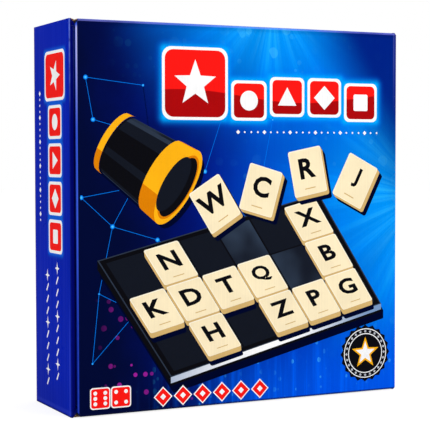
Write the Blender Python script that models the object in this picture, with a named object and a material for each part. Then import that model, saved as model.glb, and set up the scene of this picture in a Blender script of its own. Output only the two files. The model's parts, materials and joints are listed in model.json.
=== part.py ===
"""Word tile game in a hinged corrugated carton that stands on one end wall.

X runs along the front, Y from the lid to the back panel and Z up. The origin is the
middle of the base. Lengths are in metres and angles in degrees. The sizes start at
the tile: the racks hold the tiles, two racks and two end caps make a case, and the
carton fits two cases, a column of spare tiles, its card insert and a leaflet.
"""

import math

import bmesh
import bpy

# Gap that touching pieces keep, and how far a cutter passes the face it leaves
SEAT_GAP = 0.0003
OVERRUN = 0.002

# Letter tiles
TILE_WIDTH = 0.024
TILE_LENGTH = 0.036
TILE_THICKNESS = 0.0056
TILE_SPACE = 0.001
TILE_EDGE = 0.0006
TILES_PER_ROW = 7
TILES_PER_STACK = 10
STACKS = 5
STACK_SPACE = 0.0006

# Tile racks: a rounded shell with end walls, and a stepped plate with two tiers
RACK_WALL = 0.002
RACK_END_WALL = 0.002
SHOULDER_ROUND = 0.024
SHOULDER_STEPS = 6
TIER_PLATE = 0.0016
TIER_ANGLE = 15.0
TIER_BASE = 0.009
TIER_RISE = 0.003
TIER_CREST = 0.002
TILE_TOE = 0.0005
STRIP_BED = 0.0151
STRIP_BED_DROP = 0.004
REAR_RAIL = 0.0157
RIM_CURVE = 0.0006
RACK_HEADROOM = 0.0037
GROOVES = 4
GROOVE_WIDTH = 0.003
GROOVE_DEPTH = 0.0008

# Metal strip along each rack's front bed
STRIP_THICKNESS = 0.0008
STRIP_MARGIN = 0.0012

# End caps that hold two racks together as a case
CAP_WALL = 0.002
CAP_END = 0.002
CAP_REACH = 0.012
CAP_TRAVEL = 0.013
CAP_CLEAR = 0.0009

# Card insert and leaflet
CARD = 0.001
STEP_HEIGHT = 0.0091
CHANNEL_CLEAR = 0.0008
LEAFLET_WIDTH = 0.148
LEAFLET_HEIGHT = 0.210
LEAFLET_THICKNESS = 0.0015

# Corrugated board carton
BOARD = 0.0016
FOLD_ROUND = 0.0014
FOLD_STEPS = 3
RIM_CLEAR = 0.0008
LID_AIR = 0.0028
LID_SIDE_CLEAR = 0.0004
LID_END_CLEAR = 0.0005
HINGE_AIR = 0.004
LOCK_TAB_WIDTH = 0.028
LOCK_TAB_SINK = 0.0002
LOCK_TAB_PLACE_SHARES = (0.25, 0.75)
CORNER_EAR_LENGTH = 0.045

# Tuck flap and its ears
FLAP_LENGTH = 0.030
FLAP_LEAN = 7.5
FLAP_END_CLEAR = 0.0018
EAR_LENGTH = 0.020
EAR_LEAN = 10.0
EAR_MARGIN = 0.0032
EAR_CORNER = 0.007
EAR_STEP_CLEAR = 0.0012
CORNER_STEPS = 4

# Rack, worked out from the tiles
TIER_SLOPE = TILE_LENGTH + 2 * TILE_TOE
TIER_RUN = TIER_SLOPE * math.cos(math.radians(TIER_ANGLE))
TIER_LIFT = TIER_SLOPE * math.sin(math.radians(TIER_ANGLE))
TILE_HEIGHT = TILE_THICKNESS * math.cos(math.radians(TIER_ANGLE))
RACK_EDGE = RACK_WALL + RIM_CURVE + SEAT_GAP
RACK_WIDTH = 2 * RACK_EDGE + STRIP_BED + 2 * (TIER_RUN + TIER_CREST) + REAR_RAIL
RACK_INSIDE = TILES_PER_ROW * TILE_WIDTH + (TILES_PER_ROW + 1) * TILE_SPACE
RACK_LENGTH = RACK_INSIDE + 2 * RACK_END_WALL
RACK_DEPTH = TIER_BASE + TIER_RISE + TIER_LIFT + SEAT_GAP + TILE_HEIGHT + RACK_HEADROOM
STRIP_BED_HEIGHT = RACK_DEPTH - STRIP_BED_DROP

# Case, two racks face to face in two end caps
CAP_SKIN = SEAT_GAP + CAP_WALL
CAP_HEIGHT = RACK_WIDTH + 2 * CAP_SKIN
CAP_DEPTH = 2 * (RACK_DEPTH + CAP_SKIN)
CAP_LIP = SEAT_GAP + CAP_END

# Carton, worked out from what it holds
END_WALL = 3 * BOARD + 2 * SEAT_GAP
SPINE_WALL = 2 * BOARD + SEAT_GAP
BACK_STACK = BOARD + SEAT_GAP + LEAFLET_THICKNESS + SEAT_GAP + CARD + SEAT_GAP
CARTON_DEPTH = BOARD + LID_AIR + CAP_DEPTH + BACK_STACK
CARTON_HEIGHT = 2 * (END_WALL + SEAT_GAP + STEP_HEIGHT + SEAT_GAP + CAP_HEIGHT + SEAT_GAP) + CARD
FLAP_INSET = SPINE_WALL + LID_SIDE_CLEAR + BOARD / 2
FLAP_REACH = (
    FLAP_LENGTH * math.sin(math.radians(FLAP_LEAN))
    + BOARD / 2 * math.cos(math.radians(FLAP_LEAN))
)
CASE_INSET = FLAP_INSET + FLAP_REACH + CAP_CLEAR + CAP_TRAVEL + CAP_LIP
CHANNEL_WIDTH = 2 * (CARD + CHANNEL_CLEAR) + TILE_WIDTH
CASE_REACH = CASE_INSET + RACK_LENGTH + CAP_LIP + CAP_TRAVEL + CAP_CLEAR
CARTON_WIDTH = CASE_REACH + CHANNEL_WIDTH + HINGE_AIR + BOARD

# Places
LEFT = -CARTON_WIDTH / 2
RIGHT = CARTON_WIDTH / 2
FRONT = -CARTON_DEPTH / 2
BACK = CARTON_DEPTH / 2
MIDDLE_HEIGHT = CARTON_HEIGHT / 2
RIM_Y = FRONT + BOARD + RIM_CLEAR
PANEL_Y = BACK - BOARD
WALL_END_Y = PANEL_Y - SEAT_GAP
LID_MIDDLE_Y = FRONT + BOARD / 2
HINGE_X = RIGHT - BOARD / 2
FLAP_AXIS_X = LEFT + FLAP_INSET
FLOOR_Y = PANEL_Y - SEAT_GAP - LEAFLET_THICKNESS - SEAT_GAP - CARD
SEAT_Y = FLOOR_Y - SEAT_GAP
CASE_Y = SEAT_Y - CAP_DEPTH / 2
INSERT_LEFT = LEFT + FLAP_INSET + FLAP_REACH + CAP_CLEAR
INSERT_RIGHT = RIGHT - BOARD - SEAT_GAP
CHANNEL_LEFT = LEFT + CASE_REACH
CASE_LEFT = LEFT + CASE_INSET
CASE_RIGHT = CASE_LEFT + RACK_LENGTH
STEP_FOOT = END_WALL + SEAT_GAP
STEP_TOP = STEP_FOOT + STEP_HEIGHT
EAR_NEAR = BOARD / 2 + SEAT_GAP + EAR_MARGIN
EAR_FAR = FLAP_LENGTH - EAR_MARGIN
STEP_FRONT_Y = LID_MIDDLE_Y + EAR_FAR + EAR_STEP_CLEAR
INSERT_FRONT_Y = CASE_Y - RACK_DEPTH
CASE_LIFT = CARD / 2 + SEAT_GAP + CAP_HEIGHT / 2
CASE_HEIGHTS = {"lower": MIDDLE_HEIGHT - CASE_LIFT, "upper": MIDDLE_HEIGHT + CASE_LIFT}

# Finishes: colour, roughness and metallic value
PRINTED_FRONT = ((0.01, 0.05, 0.30), 0.25, 0.0)
PRINTED_BLUE = ((0.01, 0.04, 0.42), 0.28, 0.0)
BROWN_BOARD = ((0.45, 0.29, 0.16), 0.85, 0.0)
WHITE_CARD = ((0.80, 0.79, 0.76), 0.70, 0.0)
PAPER = ((0.86, 0.86, 0.84), 0.60, 0.0)
BLACK_PLASTIC = ((0.012, 0.014, 0.018), 0.35, 0.0)
AMBER_PLASTIC = ((0.95, 0.42, 0.02), 0.30, 0.0)
SILVER_STRIP = ((0.62, 0.66, 0.72), 0.25, 1.0)
IVORY_PLASTIC = ((0.90, 0.80, 0.52), 0.30, 0.0)


def clear_scene():
    """Remove whatever the scene holds before the model is built."""
    for item in list(bpy.data.objects):
        bpy.data.objects.remove(item, do_unlink=True)


def give_finish(item, finish):
    """Give the object a material of its own with this finish."""
    colour, roughness, metallic = finish
    material = bpy.data.materials.new(item.name)
    material.use_nodes = True
    shader = material.node_tree.nodes["Principled BSDF"]
    shader.inputs["Base Color"].default_value = (*colour, 1.0)
    shader.inputs["Roughness"].default_value = roughness
    shader.inputs["Metallic"].default_value = metallic
    item.data.materials.append(material)


def add_object(name, shape, finish=None):
    """Turn a bmesh into a named object with its faces pointing out."""
    bmesh.ops.recalc_face_normals(shape, faces=shape.faces)
    mesh = bpy.data.meshes.new(name)
    shape.to_mesh(mesh)
    shape.free()
    item = bpy.data.objects.new(name, mesh)
    bpy.context.collection.objects.link(item)
    if finish is not None:
        give_finish(item, finish)
    return item


def put(item, location, parent=None, turn=(0.0, 0.0, 0.0)):
    """Place an object, in its parent's frame where it has one."""
    item.parent = parent
    item.location = location
    item.rotation_euler = [math.radians(angle) for angle in turn]
    return item


def add_loft(shape, sections, place):
    """Add a closed solid through sections, each an outline of (a, b) points and its distance.

    place turns (a, b, distance) into an (x, y, z) point.
    """
    rings = []
    for outline, distance in sections:
        rings.append([shape.verts.new(place(a, b, distance)) for a, b in outline])
    shape.faces.new(rings[0])
    shape.faces.new(rings[-1])
    for ring, following in zip(rings, rings[1:]):
        for i, vert in enumerate(ring):
            before = i - 1
            shape.faces.new((ring[before], vert, following[i], following[before]))


def add_prism(shape, outline, low, high, place):
    """Add an outline of (a, b) points extruded from low to high."""
    add_loft(shape, [(outline, low), (outline, high)], place)


def along_x(a, b, distance):
    """Outline in Y and Z, extruded along X."""
    return (distance, a, b)


def along_y(a, b, distance):
    """Outline in X and Z, extruded along Y."""
    return (a, distance, b)


def along_z(a, b, distance):
    """Outline in X and Y, extruded along Z."""
    return (a, b, distance)


def add_box(shape, low, high):
    """Add a plain box between two corners."""
    outline = [(low[0], low[1]), (high[0], low[1]), (high[0], high[1]), (low[0], high[1])]
    add_prism(shape, outline, low[2], high[2], along_z)


def cut(item, fill_cutter):
    """Cut from an object the separate solids that fill_cutter adds to a bmesh."""
    shape = bmesh.new()
    fill_cutter(shape)
    cutter = add_object(f"{item.name}_cutter_{len(item.modifiers)}", shape)
    cutter.hide_render = True
    cutter.display_type = "WIRE"
    boolean = item.modifiers.new("cut", "BOOLEAN")
    boolean.operation = "DIFFERENCE"
    boolean.solver = "EXACT"
    boolean.object = cutter
    return cutter


def arc(centre, radius, start, end, steps):
    """Points along an arc, from one angle to the other."""
    points = []
    for i in range(steps + 1):
        angle = math.radians(start + (end - start) * i / steps)
        points.append((centre[0] + radius * math.cos(angle), centre[1] + radius * math.sin(angle)))
    return points


def heading(start, end):
    """Unit direction from one outline point to the next."""
    length = math.dist(start, end)
    return ((end[0] - start[0]) / length, (end[1] - start[1]) / length)


def offset_path(path, distance):
    """The path moved to its right by a distance, with square mitres."""
    moved = []
    for i, point in enumerate(path):
        normals = []
        if i > 0:
            along = heading(path[i - 1], point)
            normals.append((along[1], -along[0]))
        if i < len(path) - 1:
            along = heading(point, path[i + 1])
            normals.append((along[1], -along[0]))
        first = normals[0]
        last = normals[-1]
        reach = distance / (1 + first[0] * last[0] + first[1] * last[1])
        moved.append((point[0] + reach * (first[0] + last[0]), point[1] + reach * (first[1] + last[1])))
    return moved


def round_path(path, radius, steps):
    """The path with an arc in place of each corner between its ends."""
    points = [path[0]]
    for before, corner, after in zip(path, path[1:], path[2:]):
        arrive = heading(before, corner)
        leave = heading(corner, after)
        turn = math.atan2(
            arrive[0] * leave[1] - arrive[1] * leave[0],
            arrive[0] * leave[0] + arrive[1] * leave[1],
        )
        trim = radius * math.tan(abs(turn) / 2)
        side = math.copysign(1.0, turn)
        start = (corner[0] - arrive[0] * trim, corner[1] - arrive[1] * trim)
        centre = (start[0] - arrive[1] * side * radius, start[1] + arrive[0] * side * radius)
        first = math.degrees(math.atan2(start[1] - centre[1], start[0] - centre[0]))
        points.extend(arc(centre, radius, first, first + math.degrees(turn), steps))
    points.append(path[-1])
    return points


def folded(path, thickness, radius=0.0):
    """Outline of a folded sheet: its outer face follows the path, its body lies to the right."""
    outer = path if radius == 0.0 else round_path(path, radius, FOLD_STEPS)
    return outer + offset_path(path, thickness)[::-1]


def round_rectangle(width, height, radius, steps):
    """Outline of a rectangle with round corners, about the origin."""
    side = width / 2 - radius
    rise = height / 2 - radius
    corners = ((side, rise, 0.0), (-side, rise, 90.0), (-side, -rise, 180.0), (side, -rise, 270.0))
    points = []
    for across, up, start in corners:
        points.extend(arc((across, up), radius, start, start + 90.0, steps))
    return points


def add_rolled_wall(name, thickness, low, high, place, finish):
    """A wall of two plies that rolls over at its front rim; place takes (y, inward, along)."""
    tab_y = BACK - LOCK_TAB_SINK
    path = [(WALL_END_Y, 0.0), (RIM_Y, 0.0), (RIM_Y, thickness), (tab_y, thickness)]
    radius = min(FOLD_ROUND, (thickness - SEAT_GAP) / 2)
    shape = bmesh.new()
    add_prism(shape, folded(path, BOARD, radius), low, high, place)
    return add_object(name, shape, finish)


def tab_places(length):
    """Middles of the lock tabs along a wall of this length."""
    return [length * share for share in LOCK_TAB_PLACE_SHARES]


def add_tab_gaps(shape, length, inner_face, place):
    """Cutters that leave only the lock tabs of an inner ply beyond the wall's end."""
    edges = [-OVERRUN]
    for middle in tab_places(length):
        edges.append(middle - LOCK_TAB_WIDTH / 2)
        edges.append(middle + LOCK_TAB_WIDTH / 2)
    edges.append(length + OVERRUN)
    near = inner_face - BOARD - SEAT_GAP / 2
    far = inner_face + OVERRUN
    for start, end in zip(edges[::2], edges[1::2]):
        outline = [(WALL_END_Y, near), (BACK + OVERRUN, near), (BACK + OVERRUN, far), (WALL_END_Y, far)]
        add_prism(shape, outline, start, end, place)


def build_end_wall(name, place):
    """Top or bottom wall, rolled over the corner ears and locked into the back panel."""
    start = LEFT + BOARD + SEAT_GAP
    length = RIGHT - BOARD - SEAT_GAP - start
    wall = add_rolled_wall(
        name, END_WALL, 0.0, length, lambda y, inward, along: place(start + along, y, inward), PRINTED_BLUE
    )
    cut(wall, lambda shape: add_tab_gaps(
        shape, length, END_WALL, lambda y, inward, along: place(start + along, y, inward)
    ))


def at_base(x, y, inward):
    """A point of the bottom wall, from its distance inward."""
    return (x, y, inward)


def at_top(x, y, inward):
    """A point of the top wall, from its distance inward."""
    return (x, y, CARTON_HEIGHT - inward)


def build_spine_wall():
    """Wall at the tuck side: full height outside, rolled over between the end walls."""
    def place(y, inward, along):
        return (LEFT + inward, y, along)

    wall = add_rolled_wall("spine_wall", SPINE_WALL, 0.0, CARTON_HEIGHT, place, PRINTED_BLUE)

    def fill_ends(shape):
        reach = END_WALL + SEAT_GAP
        low = (LEFT + BOARD, RIM_Y - OVERRUN)
        high = (LEFT + SPINE_WALL + OVERRUN, BACK + OVERRUN)
        add_box(shape, (*low, -OVERRUN), (*high, reach))
        add_box(shape, (*low, CARTON_HEIGHT - reach), (*high, CARTON_HEIGHT + OVERRUN))

    cut(wall, lambda shape: add_tab_gaps(shape, CARTON_HEIGHT, SPINE_WALL, place))
    cut(wall, fill_ends)


def build_back_panel():
    """Back panel with the slots that the walls' lock tabs pass through."""
    shape = bmesh.new()
    add_box(shape, (LEFT, PANEL_Y, 0.0), (RIGHT, BACK, CARTON_HEIGHT))
    rim = [edge for edge in shape.edges if all(vert.co.y > BACK - BOARD / 2 for vert in edge.verts)]
    radius = min(FOLD_ROUND, BOARD - SEAT_GAP / 2)
    bmesh.ops.bevel(shape, geom=rim, offset=radius, segments=FOLD_STEPS, profile=0.5, affect="EDGES")
    panel = add_object("back_panel", shape, PRINTED_BLUE)
    low_y = PANEL_Y - OVERRUN
    high_y = BACK + OVERRUN
    half = LOCK_TAB_WIDTH / 2 + SEAT_GAP
    wall_start = LEFT + BOARD + SEAT_GAP
    wall_length = CARTON_WIDTH - 2 * (BOARD + SEAT_GAP)

    def fill(cutter):
        slot_low = END_WALL - BOARD - SEAT_GAP
        slot_high = END_WALL + SEAT_GAP
        for middle in tab_places(wall_length):
            x = wall_start + middle
            add_box(cutter, (x - half, low_y, slot_low), (x + half, high_y, slot_high))
            add_box(
                cutter,
                (x - half, low_y, CARTON_HEIGHT - slot_high),
                (x + half, high_y, CARTON_HEIGHT - slot_low),
            )
        for z in tab_places(CARTON_HEIGHT):
            add_box(
                cutter,
                (LEFT + BOARD, low_y, z - half),
                (LEFT + SPINE_WALL + SEAT_GAP, high_y, z + half),
            )

    cut(panel, fill)


def build_hinge_wall():
    """Single wall on the lid's hinge side."""
    shape = bmesh.new()
    front = LID_MIDDLE_Y + BOARD / 2 + SEAT_GAP
    add_box(shape, (RIGHT - BOARD, front, 0.0), (RIGHT, WALL_END_Y, CARTON_HEIGHT))
    add_object("hinge_wall", shape, PRINTED_BLUE)


def build_corner_ears():
    """Ears of the long walls, trapped between the plies of the end walls."""
    near = BOARD + SEAT_GAP
    sides = {"spine": (LEFT + near, 1.0), "hinge": (RIGHT - near, -1.0)}
    for side, (start, way) in sides.items():
        end = start + way * CORNER_EAR_LENGTH
        for level, place in (("bottom", at_base), ("top", at_top)):
            shape = bmesh.new()
            outline = [(near, RIM_Y + BOARD + SEAT_GAP), (near + BOARD, RIM_Y + BOARD + SEAT_GAP)]
            outline += [(near + BOARD, WALL_END_Y), (near, WALL_END_Y)]
            add_prism(shape, outline, start, end, lambda inward, y, x: place(x, y, inward))
            add_object(f"corner_ear_{side}_{level}", shape, BROWN_BOARD)


def build_lid():
    """Lid panel, round along both folds, with its origin on the hinge fold."""
    reach = FLAP_AXIS_X - HINGE_X
    outline = arc((0.0, 0.0), BOARD / 2, -90.0, 90.0, 2 * FOLD_STEPS)
    outline += arc((reach, 0.0), BOARD / 2, 90.0, 270.0, 2 * FOLD_STEPS)
    shape = bmesh.new()
    add_prism(shape, outline, LID_END_CLEAR, CARTON_HEIGHT - LID_END_CLEAR, along_z)
    lid = add_object("lid", shape, PRINTED_FRONT)
    return put(lid, (HINGE_X, LID_MIDDLE_Y, 0.0))


def build_tuck_flap(lid):
    """Tuck flap on the lid's free edge, leaning inward behind the spine wall."""
    low = END_WALL + FLAP_END_CLEAR
    high = CARTON_HEIGHT - low
    half = BOARD / 2
    outline = arc((0.0, high - half), half, 0.0, 180.0, 2 * FOLD_STEPS)
    outline += arc((0.0, low + half), half, 180.0, 360.0, 2 * FOLD_STEPS)
    shape = bmesh.new()
    add_prism(shape, outline, half + SEAT_GAP, FLAP_LENGTH, along_y)
    flap = add_object("tuck_flap", shape, PRINTED_FRONT)
    put(flap, (FLAP_AXIS_X - HINGE_X, 0.0, 0.0), lid, (0.0, 0.0, -FLAP_LEAN))
    build_tuck_ear("top", high - half, EAR_LEAN, flap)
    build_tuck_ear("bottom", low + half, -EAR_LEAN, flap)


def build_tuck_ear(level, height, lean, flap):
    """Ear folded in at one end of the tuck flap, with round outer corners."""
    near = BOARD / 2 + SEAT_GAP
    path = [(near, EAR_NEAR), (EAR_LENGTH, EAR_NEAR), (EAR_LENGTH, EAR_FAR), (near, EAR_FAR)]
    outline = round_path(path, EAR_CORNER, CORNER_STEPS)
    shape = bmesh.new()
    add_prism(shape, outline, -BOARD / 2, BOARD / 2, along_z)
    ear = add_object(f"tuck_ear_{level}", shape, BROWN_BOARD)
    put(ear, (0.0, 0.0, height), flap, (0.0, lean, 0.0))


def build_insert():
    """Card insert: floor, a folded step at each end, a shelf between cases and a tile channel."""
    shape = bmesh.new()
    add_box(shape, (INSERT_LEFT, FLOOR_Y, STEP_FOOT), (INSERT_RIGHT, FLOOR_Y + CARD, CARTON_HEIGHT - STEP_FOOT))
    add_object("insert_floor", shape, WHITE_CARD)

    for level, place in (("lower", at_base), ("upper", at_top)):
        path = [(STEP_FRONT_Y, STEP_FOOT), (STEP_FRONT_Y, STEP_TOP), (SEAT_Y, STEP_TOP), (SEAT_Y, STEP_FOOT)]
        shape = bmesh.new()
        outline = folded(path, CARD)
        add_prism(shape, outline, INSERT_LEFT, INSERT_RIGHT, lambda y, inward, x: place(x, y, inward))
        add_object(f"{level}_step", shape, WHITE_CARD)

    shelf_low = MIDDLE_HEIGHT - CARD / 2
    shape = bmesh.new()
    add_box(shape, (INSERT_LEFT, INSERT_FRONT_Y, shelf_low), (CHANNEL_LEFT - SEAT_GAP, SEAT_Y, shelf_low + CARD))
    add_object("case_shelf", shape, WHITE_CARD)

    right = CHANNEL_LEFT + CHANNEL_WIDTH
    path = [(CHANNEL_LEFT, INSERT_FRONT_Y), (CHANNEL_LEFT, SEAT_Y), (right, SEAT_Y), (right, INSERT_FRONT_Y)]
    shape = bmesh.new()
    channel_low = STEP_TOP + SEAT_GAP
    add_prism(shape, folded(path, CARD), channel_low, CARTON_HEIGHT - channel_low, along_z)
    add_object("tile_channel", shape, WHITE_CARD)


def build_leaflet():
    """Rules leaflet, flat behind the insert."""
    shape = bmesh.new()
    low_y = FLOOR_Y + CARD + SEAT_GAP
    low_z = END_WALL + SEAT_GAP
    add_box(
        shape,
        (-LEAFLET_WIDTH / 2, low_y, low_z),
        (LEAFLET_WIDTH / 2, low_y + LEAFLET_THICKNESS, low_z + LEAFLET_HEIGHT),
    )
    add_object("rules_leaflet", shape, PAPER)


def back_rack(height):
    """Place of a rack with its base to the back: (across, above base, x) to a point."""
    return lambda across, above, x: (
        x, CASE_Y + RACK_DEPTH - above, height - RACK_WIDTH / 2 + across
    )


def front_rack(height):
    """Place of a rack with its base to the lid, turned over to face the other."""
    return lambda across, above, x: (
        x, CASE_Y - RACK_DEPTH + above, height + RACK_WIDTH / 2 - across
    )


def base_grooves():
    """Outline points of the long grooves, evenly spaced along a rack's flat base."""
    flat = RACK_WIDTH - 2 * SHOULDER_ROUND
    points = []
    for i in range(GROOVES):
        middle = SHOULDER_ROUND + flat * (i + 1) / (GROOVES + 1)
        near = middle - GROOVE_WIDTH / 2
        far = middle + GROOVE_WIDTH / 2
        points += [(near, 0.0), (near, GROOVE_DEPTH), (far, GROOVE_DEPTH), (far, 0.0)]
    return points


def half_shell(inset, top, grooves=()):
    """Outline of a rack's round-shouldered trough, inset from its outer face, cut off at the top."""
    radius = SHOULDER_ROUND - inset
    left = (SHOULDER_ROUND, SHOULDER_ROUND)
    right = (RACK_WIDTH - SHOULDER_ROUND, SHOULDER_ROUND)
    outline = [(inset, top)]
    outline += arc(left, radius, 180.0, 270.0, SHOULDER_STEPS)
    outline += grooves
    outline += arc(right, radius, 270.0, 360.0, SHOULDER_STEPS)
    outline.append((RACK_WIDTH - inset, top))
    return outline


def tier_path():
    """Upper face of the stepped plate: strip bed, two tiers and the rear rail."""
    bed_end = RACK_EDGE + STRIP_BED
    second = bed_end + TIER_RUN + TIER_CREST
    rail = second + TIER_RUN + TIER_CREST
    first_top = TIER_BASE + TIER_LIFT
    second_base = TIER_BASE + TIER_RISE
    second_top = second_base + TIER_LIFT
    return [
        (RACK_EDGE, STRIP_BED_HEIGHT),
        (bed_end, STRIP_BED_HEIGHT),
        (bed_end, TIER_BASE),
        (bed_end + TIER_RUN, first_top),
        (second, first_top),
        (second, second_base),
        (second + TIER_RUN, second_top),
        (rail, second_top),
        (rail, STRIP_BED_HEIGHT),
        (RACK_WIDTH - RACK_EDGE, STRIP_BED_HEIGHT),
    ]


def tile_outline(toe, inset):
    """Section of a tile that lies on a tier whose toe is at this point, inset all round."""
    along = (math.cos(math.radians(TIER_ANGLE)), math.sin(math.radians(TIER_ANGLE)))
    near = TILE_TOE + inset
    far = TILE_TOE + TILE_LENGTH - inset
    under = SEAT_GAP + inset
    over = SEAT_GAP + TILE_THICKNESS - inset
    corners = [(near, under), (far, under), (far, over), (near, over)]
    shift = TILE_THICKNESS * math.tan(math.radians(TIER_ANGLE))
    return [
        (toe[0] + (run + shift) * along[0] - rise * along[1], toe[1] + (run + shift) * along[1] + rise * along[0])
        for run, rise in corners
    ]


def tile_sections(outline_at, start, pitch, length, count):
    """Sections of a run of tiles that meet at their bevelled edges."""
    plain = outline_at(0.0)
    bevelled = outline_at(TILE_EDGE)
    sections = []
    for i in range(count):
        low = start + i * pitch
        high = low + length
        sections.append((bevelled, low))
        sections.append((plain, low + TILE_EDGE))
        sections.append((plain, high - TILE_EDGE))
        if i == count - 1 or pitch > length:
            sections.append((bevelled, high))
    return sections


def build_rack(name, place):
    """One rack: shell, stepped plate, metal strip and two rows of tiles."""
    shape = bmesh.new()
    rim = RACK_DEPTH - SEAT_GAP / 2
    add_prism(shape, half_shell(0.0, rim, base_grooves()), CASE_LEFT, CASE_RIGHT, place)
    shell = add_object(f"{name}_shell", shape, BLACK_PLASTIC)
    cut(shell, lambda cutter: add_prism(
        cutter,
        half_shell(RACK_WALL, RACK_DEPTH + OVERRUN),
        CASE_LEFT + RACK_END_WALL,
        CASE_RIGHT - RACK_END_WALL,
        place,
    ))

    inside_low = CASE_LEFT + RACK_END_WALL + SEAT_GAP
    inside_high = CASE_RIGHT - RACK_END_WALL - SEAT_GAP
    path = tier_path()
    shape = bmesh.new()
    add_prism(shape, folded(path, TIER_PLATE), inside_low, inside_high, place)
    add_object(f"{name}_tiers", shape, BLACK_PLASTIC)

    bed = STRIP_BED_HEIGHT + SEAT_GAP
    near = RACK_EDGE + STRIP_MARGIN
    far = RACK_EDGE + STRIP_BED - STRIP_MARGIN
    top = bed + STRIP_THICKNESS
    shape = bmesh.new()
    add_prism(shape, [(near, bed), (far, bed), (far, top), (near, top)], inside_low, inside_high, place)
    add_object(f"{name}_strip", shape, SILVER_STRIP)

    for row, toe in (("front", path[2]), ("rear", path[5])):
        start = CASE_LEFT + RACK_END_WALL + TILE_SPACE
        pitch = TILE_WIDTH + TILE_SPACE
        sections = tile_sections(
            lambda inset: tile_outline(toe, inset), start, pitch, TILE_WIDTH, TILES_PER_ROW
        )
        shape = bmesh.new()
        add_loft(shape, sections, place)
        add_object(f"{name}_tiles_{row}", shape, IVORY_PLASTIC)


def build_cap(name, end_x, way, height):
    """End cap that slides along X over one end of a case; way is -1 on the left and 1 on the right."""
    shape = bmesh.new()
    outer = round_rectangle(CAP_DEPTH, CAP_HEIGHT, SHOULDER_ROUND + CAP_SKIN, SHOULDER_STEPS)
    add_prism(shape, outer, -way * CAP_REACH, way * CAP_LIP, along_x)
    cap = add_object(name, shape, AMBER_PLASTIC)
    put(cap, (end_x, CASE_Y, height))

    def fill(cutter):
        clear_depth = CAP_DEPTH - 2 * CAP_WALL
        clear_height = CAP_HEIGHT - 2 * CAP_WALL
        inner = round_rectangle(clear_depth, clear_height, SHOULDER_ROUND + SEAT_GAP, SHOULDER_STEPS)
        add_prism(cutter, inner, -way * (CAP_REACH + OVERRUN), way * SEAT_GAP, along_x)

    put(cut(cap, fill), (end_x, CASE_Y, height))


def build_cases():
    """Two cases, one above the other, each of two racks and two end caps."""
    for level, height in CASE_HEIGHTS.items():
        build_rack(f"{level}_back_rack", back_rack(height))
        build_rack(f"{level}_front_rack", front_rack(height))
        build_cap(f"{level}_cap_left", CASE_LEFT, -1, height)
        build_cap(f"{level}_cap_right", CASE_RIGHT, 1, height)


def build_tile_stacks():
    """Column of spare tiles in the channel, faces towards the lid."""
    middle_x = CHANNEL_LEFT + CARD + CHANNEL_CLEAR + TILE_WIDTH / 2
    start_y = SEAT_Y - CARD - SEAT_GAP - TILES_PER_STACK * TILE_THICKNESS
    for number in range(STACKS):
        middle_z = STEP_TOP + SEAT_GAP + TILE_LENGTH / 2 + number * (TILE_LENGTH + STACK_SPACE)

        def outline_at(inset):
            half_x = TILE_WIDTH / 2 - inset
            half_z = TILE_LENGTH / 2 - inset
            low_x, high_x = middle_x - half_x, middle_x + half_x
            low_z, high_z = middle_z - half_z, middle_z + half_z
            return [(low_x, low_z), (high_x, low_z), (high_x, high_z), (low_x, high_z)]

        sections = tile_sections(outline_at, start_y, TILE_THICKNESS, TILE_THICKNESS, TILES_PER_STACK)
        shape = bmesh.new()
        add_loft(shape, sections, along_y)
        add_object(f"tile_stack_{number + 1}", shape, IVORY_PLASTIC)


def main():
    """Build the whole object."""
    clear_scene()
    build_back_panel()
    build_spine_wall()
    build_end_wall("bottom_wall", at_base)
    build_end_wall("top_wall", at_top)
    build_hinge_wall()
    build_corner_ears()
    lid = build_lid()
    build_tuck_flap(lid)
    build_insert()
    build_leaflet()
    build_cases()
    build_tile_stacks()


main()
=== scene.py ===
"""Looks of a boxed word tile game: printed carton, card insert, tile racks and letter tiles.

Lengths are in metres. Places and sizes on a printed face are in millimetres, across and up.
"""
import json
import math
import random

import bmesh
import bpy
from mathutils import Matrix, Vector


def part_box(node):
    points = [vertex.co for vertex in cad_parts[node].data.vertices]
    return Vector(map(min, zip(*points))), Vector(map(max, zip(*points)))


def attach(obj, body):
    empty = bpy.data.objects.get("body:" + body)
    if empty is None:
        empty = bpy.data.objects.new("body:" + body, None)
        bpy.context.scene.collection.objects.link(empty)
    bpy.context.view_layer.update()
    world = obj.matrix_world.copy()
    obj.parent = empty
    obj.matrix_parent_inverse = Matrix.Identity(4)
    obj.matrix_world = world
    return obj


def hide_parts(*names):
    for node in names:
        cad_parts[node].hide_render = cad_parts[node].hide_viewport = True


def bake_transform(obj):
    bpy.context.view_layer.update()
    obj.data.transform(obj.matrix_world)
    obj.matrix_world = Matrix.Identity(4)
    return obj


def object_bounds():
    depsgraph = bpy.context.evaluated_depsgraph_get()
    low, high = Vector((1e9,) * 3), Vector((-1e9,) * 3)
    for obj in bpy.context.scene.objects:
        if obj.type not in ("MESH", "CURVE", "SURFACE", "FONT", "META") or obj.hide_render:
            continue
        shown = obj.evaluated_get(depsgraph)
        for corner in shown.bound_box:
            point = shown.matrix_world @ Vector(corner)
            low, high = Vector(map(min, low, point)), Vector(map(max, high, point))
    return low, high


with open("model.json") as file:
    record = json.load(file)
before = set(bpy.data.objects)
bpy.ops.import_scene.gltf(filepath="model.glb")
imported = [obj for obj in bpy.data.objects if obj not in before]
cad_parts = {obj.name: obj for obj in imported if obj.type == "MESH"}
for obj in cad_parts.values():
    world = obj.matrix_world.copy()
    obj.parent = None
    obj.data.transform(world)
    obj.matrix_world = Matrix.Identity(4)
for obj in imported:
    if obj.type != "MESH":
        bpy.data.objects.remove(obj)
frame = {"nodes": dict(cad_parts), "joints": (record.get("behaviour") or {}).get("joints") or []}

cad_low, cad_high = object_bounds()

# Metres in a millimetre, and millimetres in a metre
MM = 0.001
MM_PER_METRE = 1000.0

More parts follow.
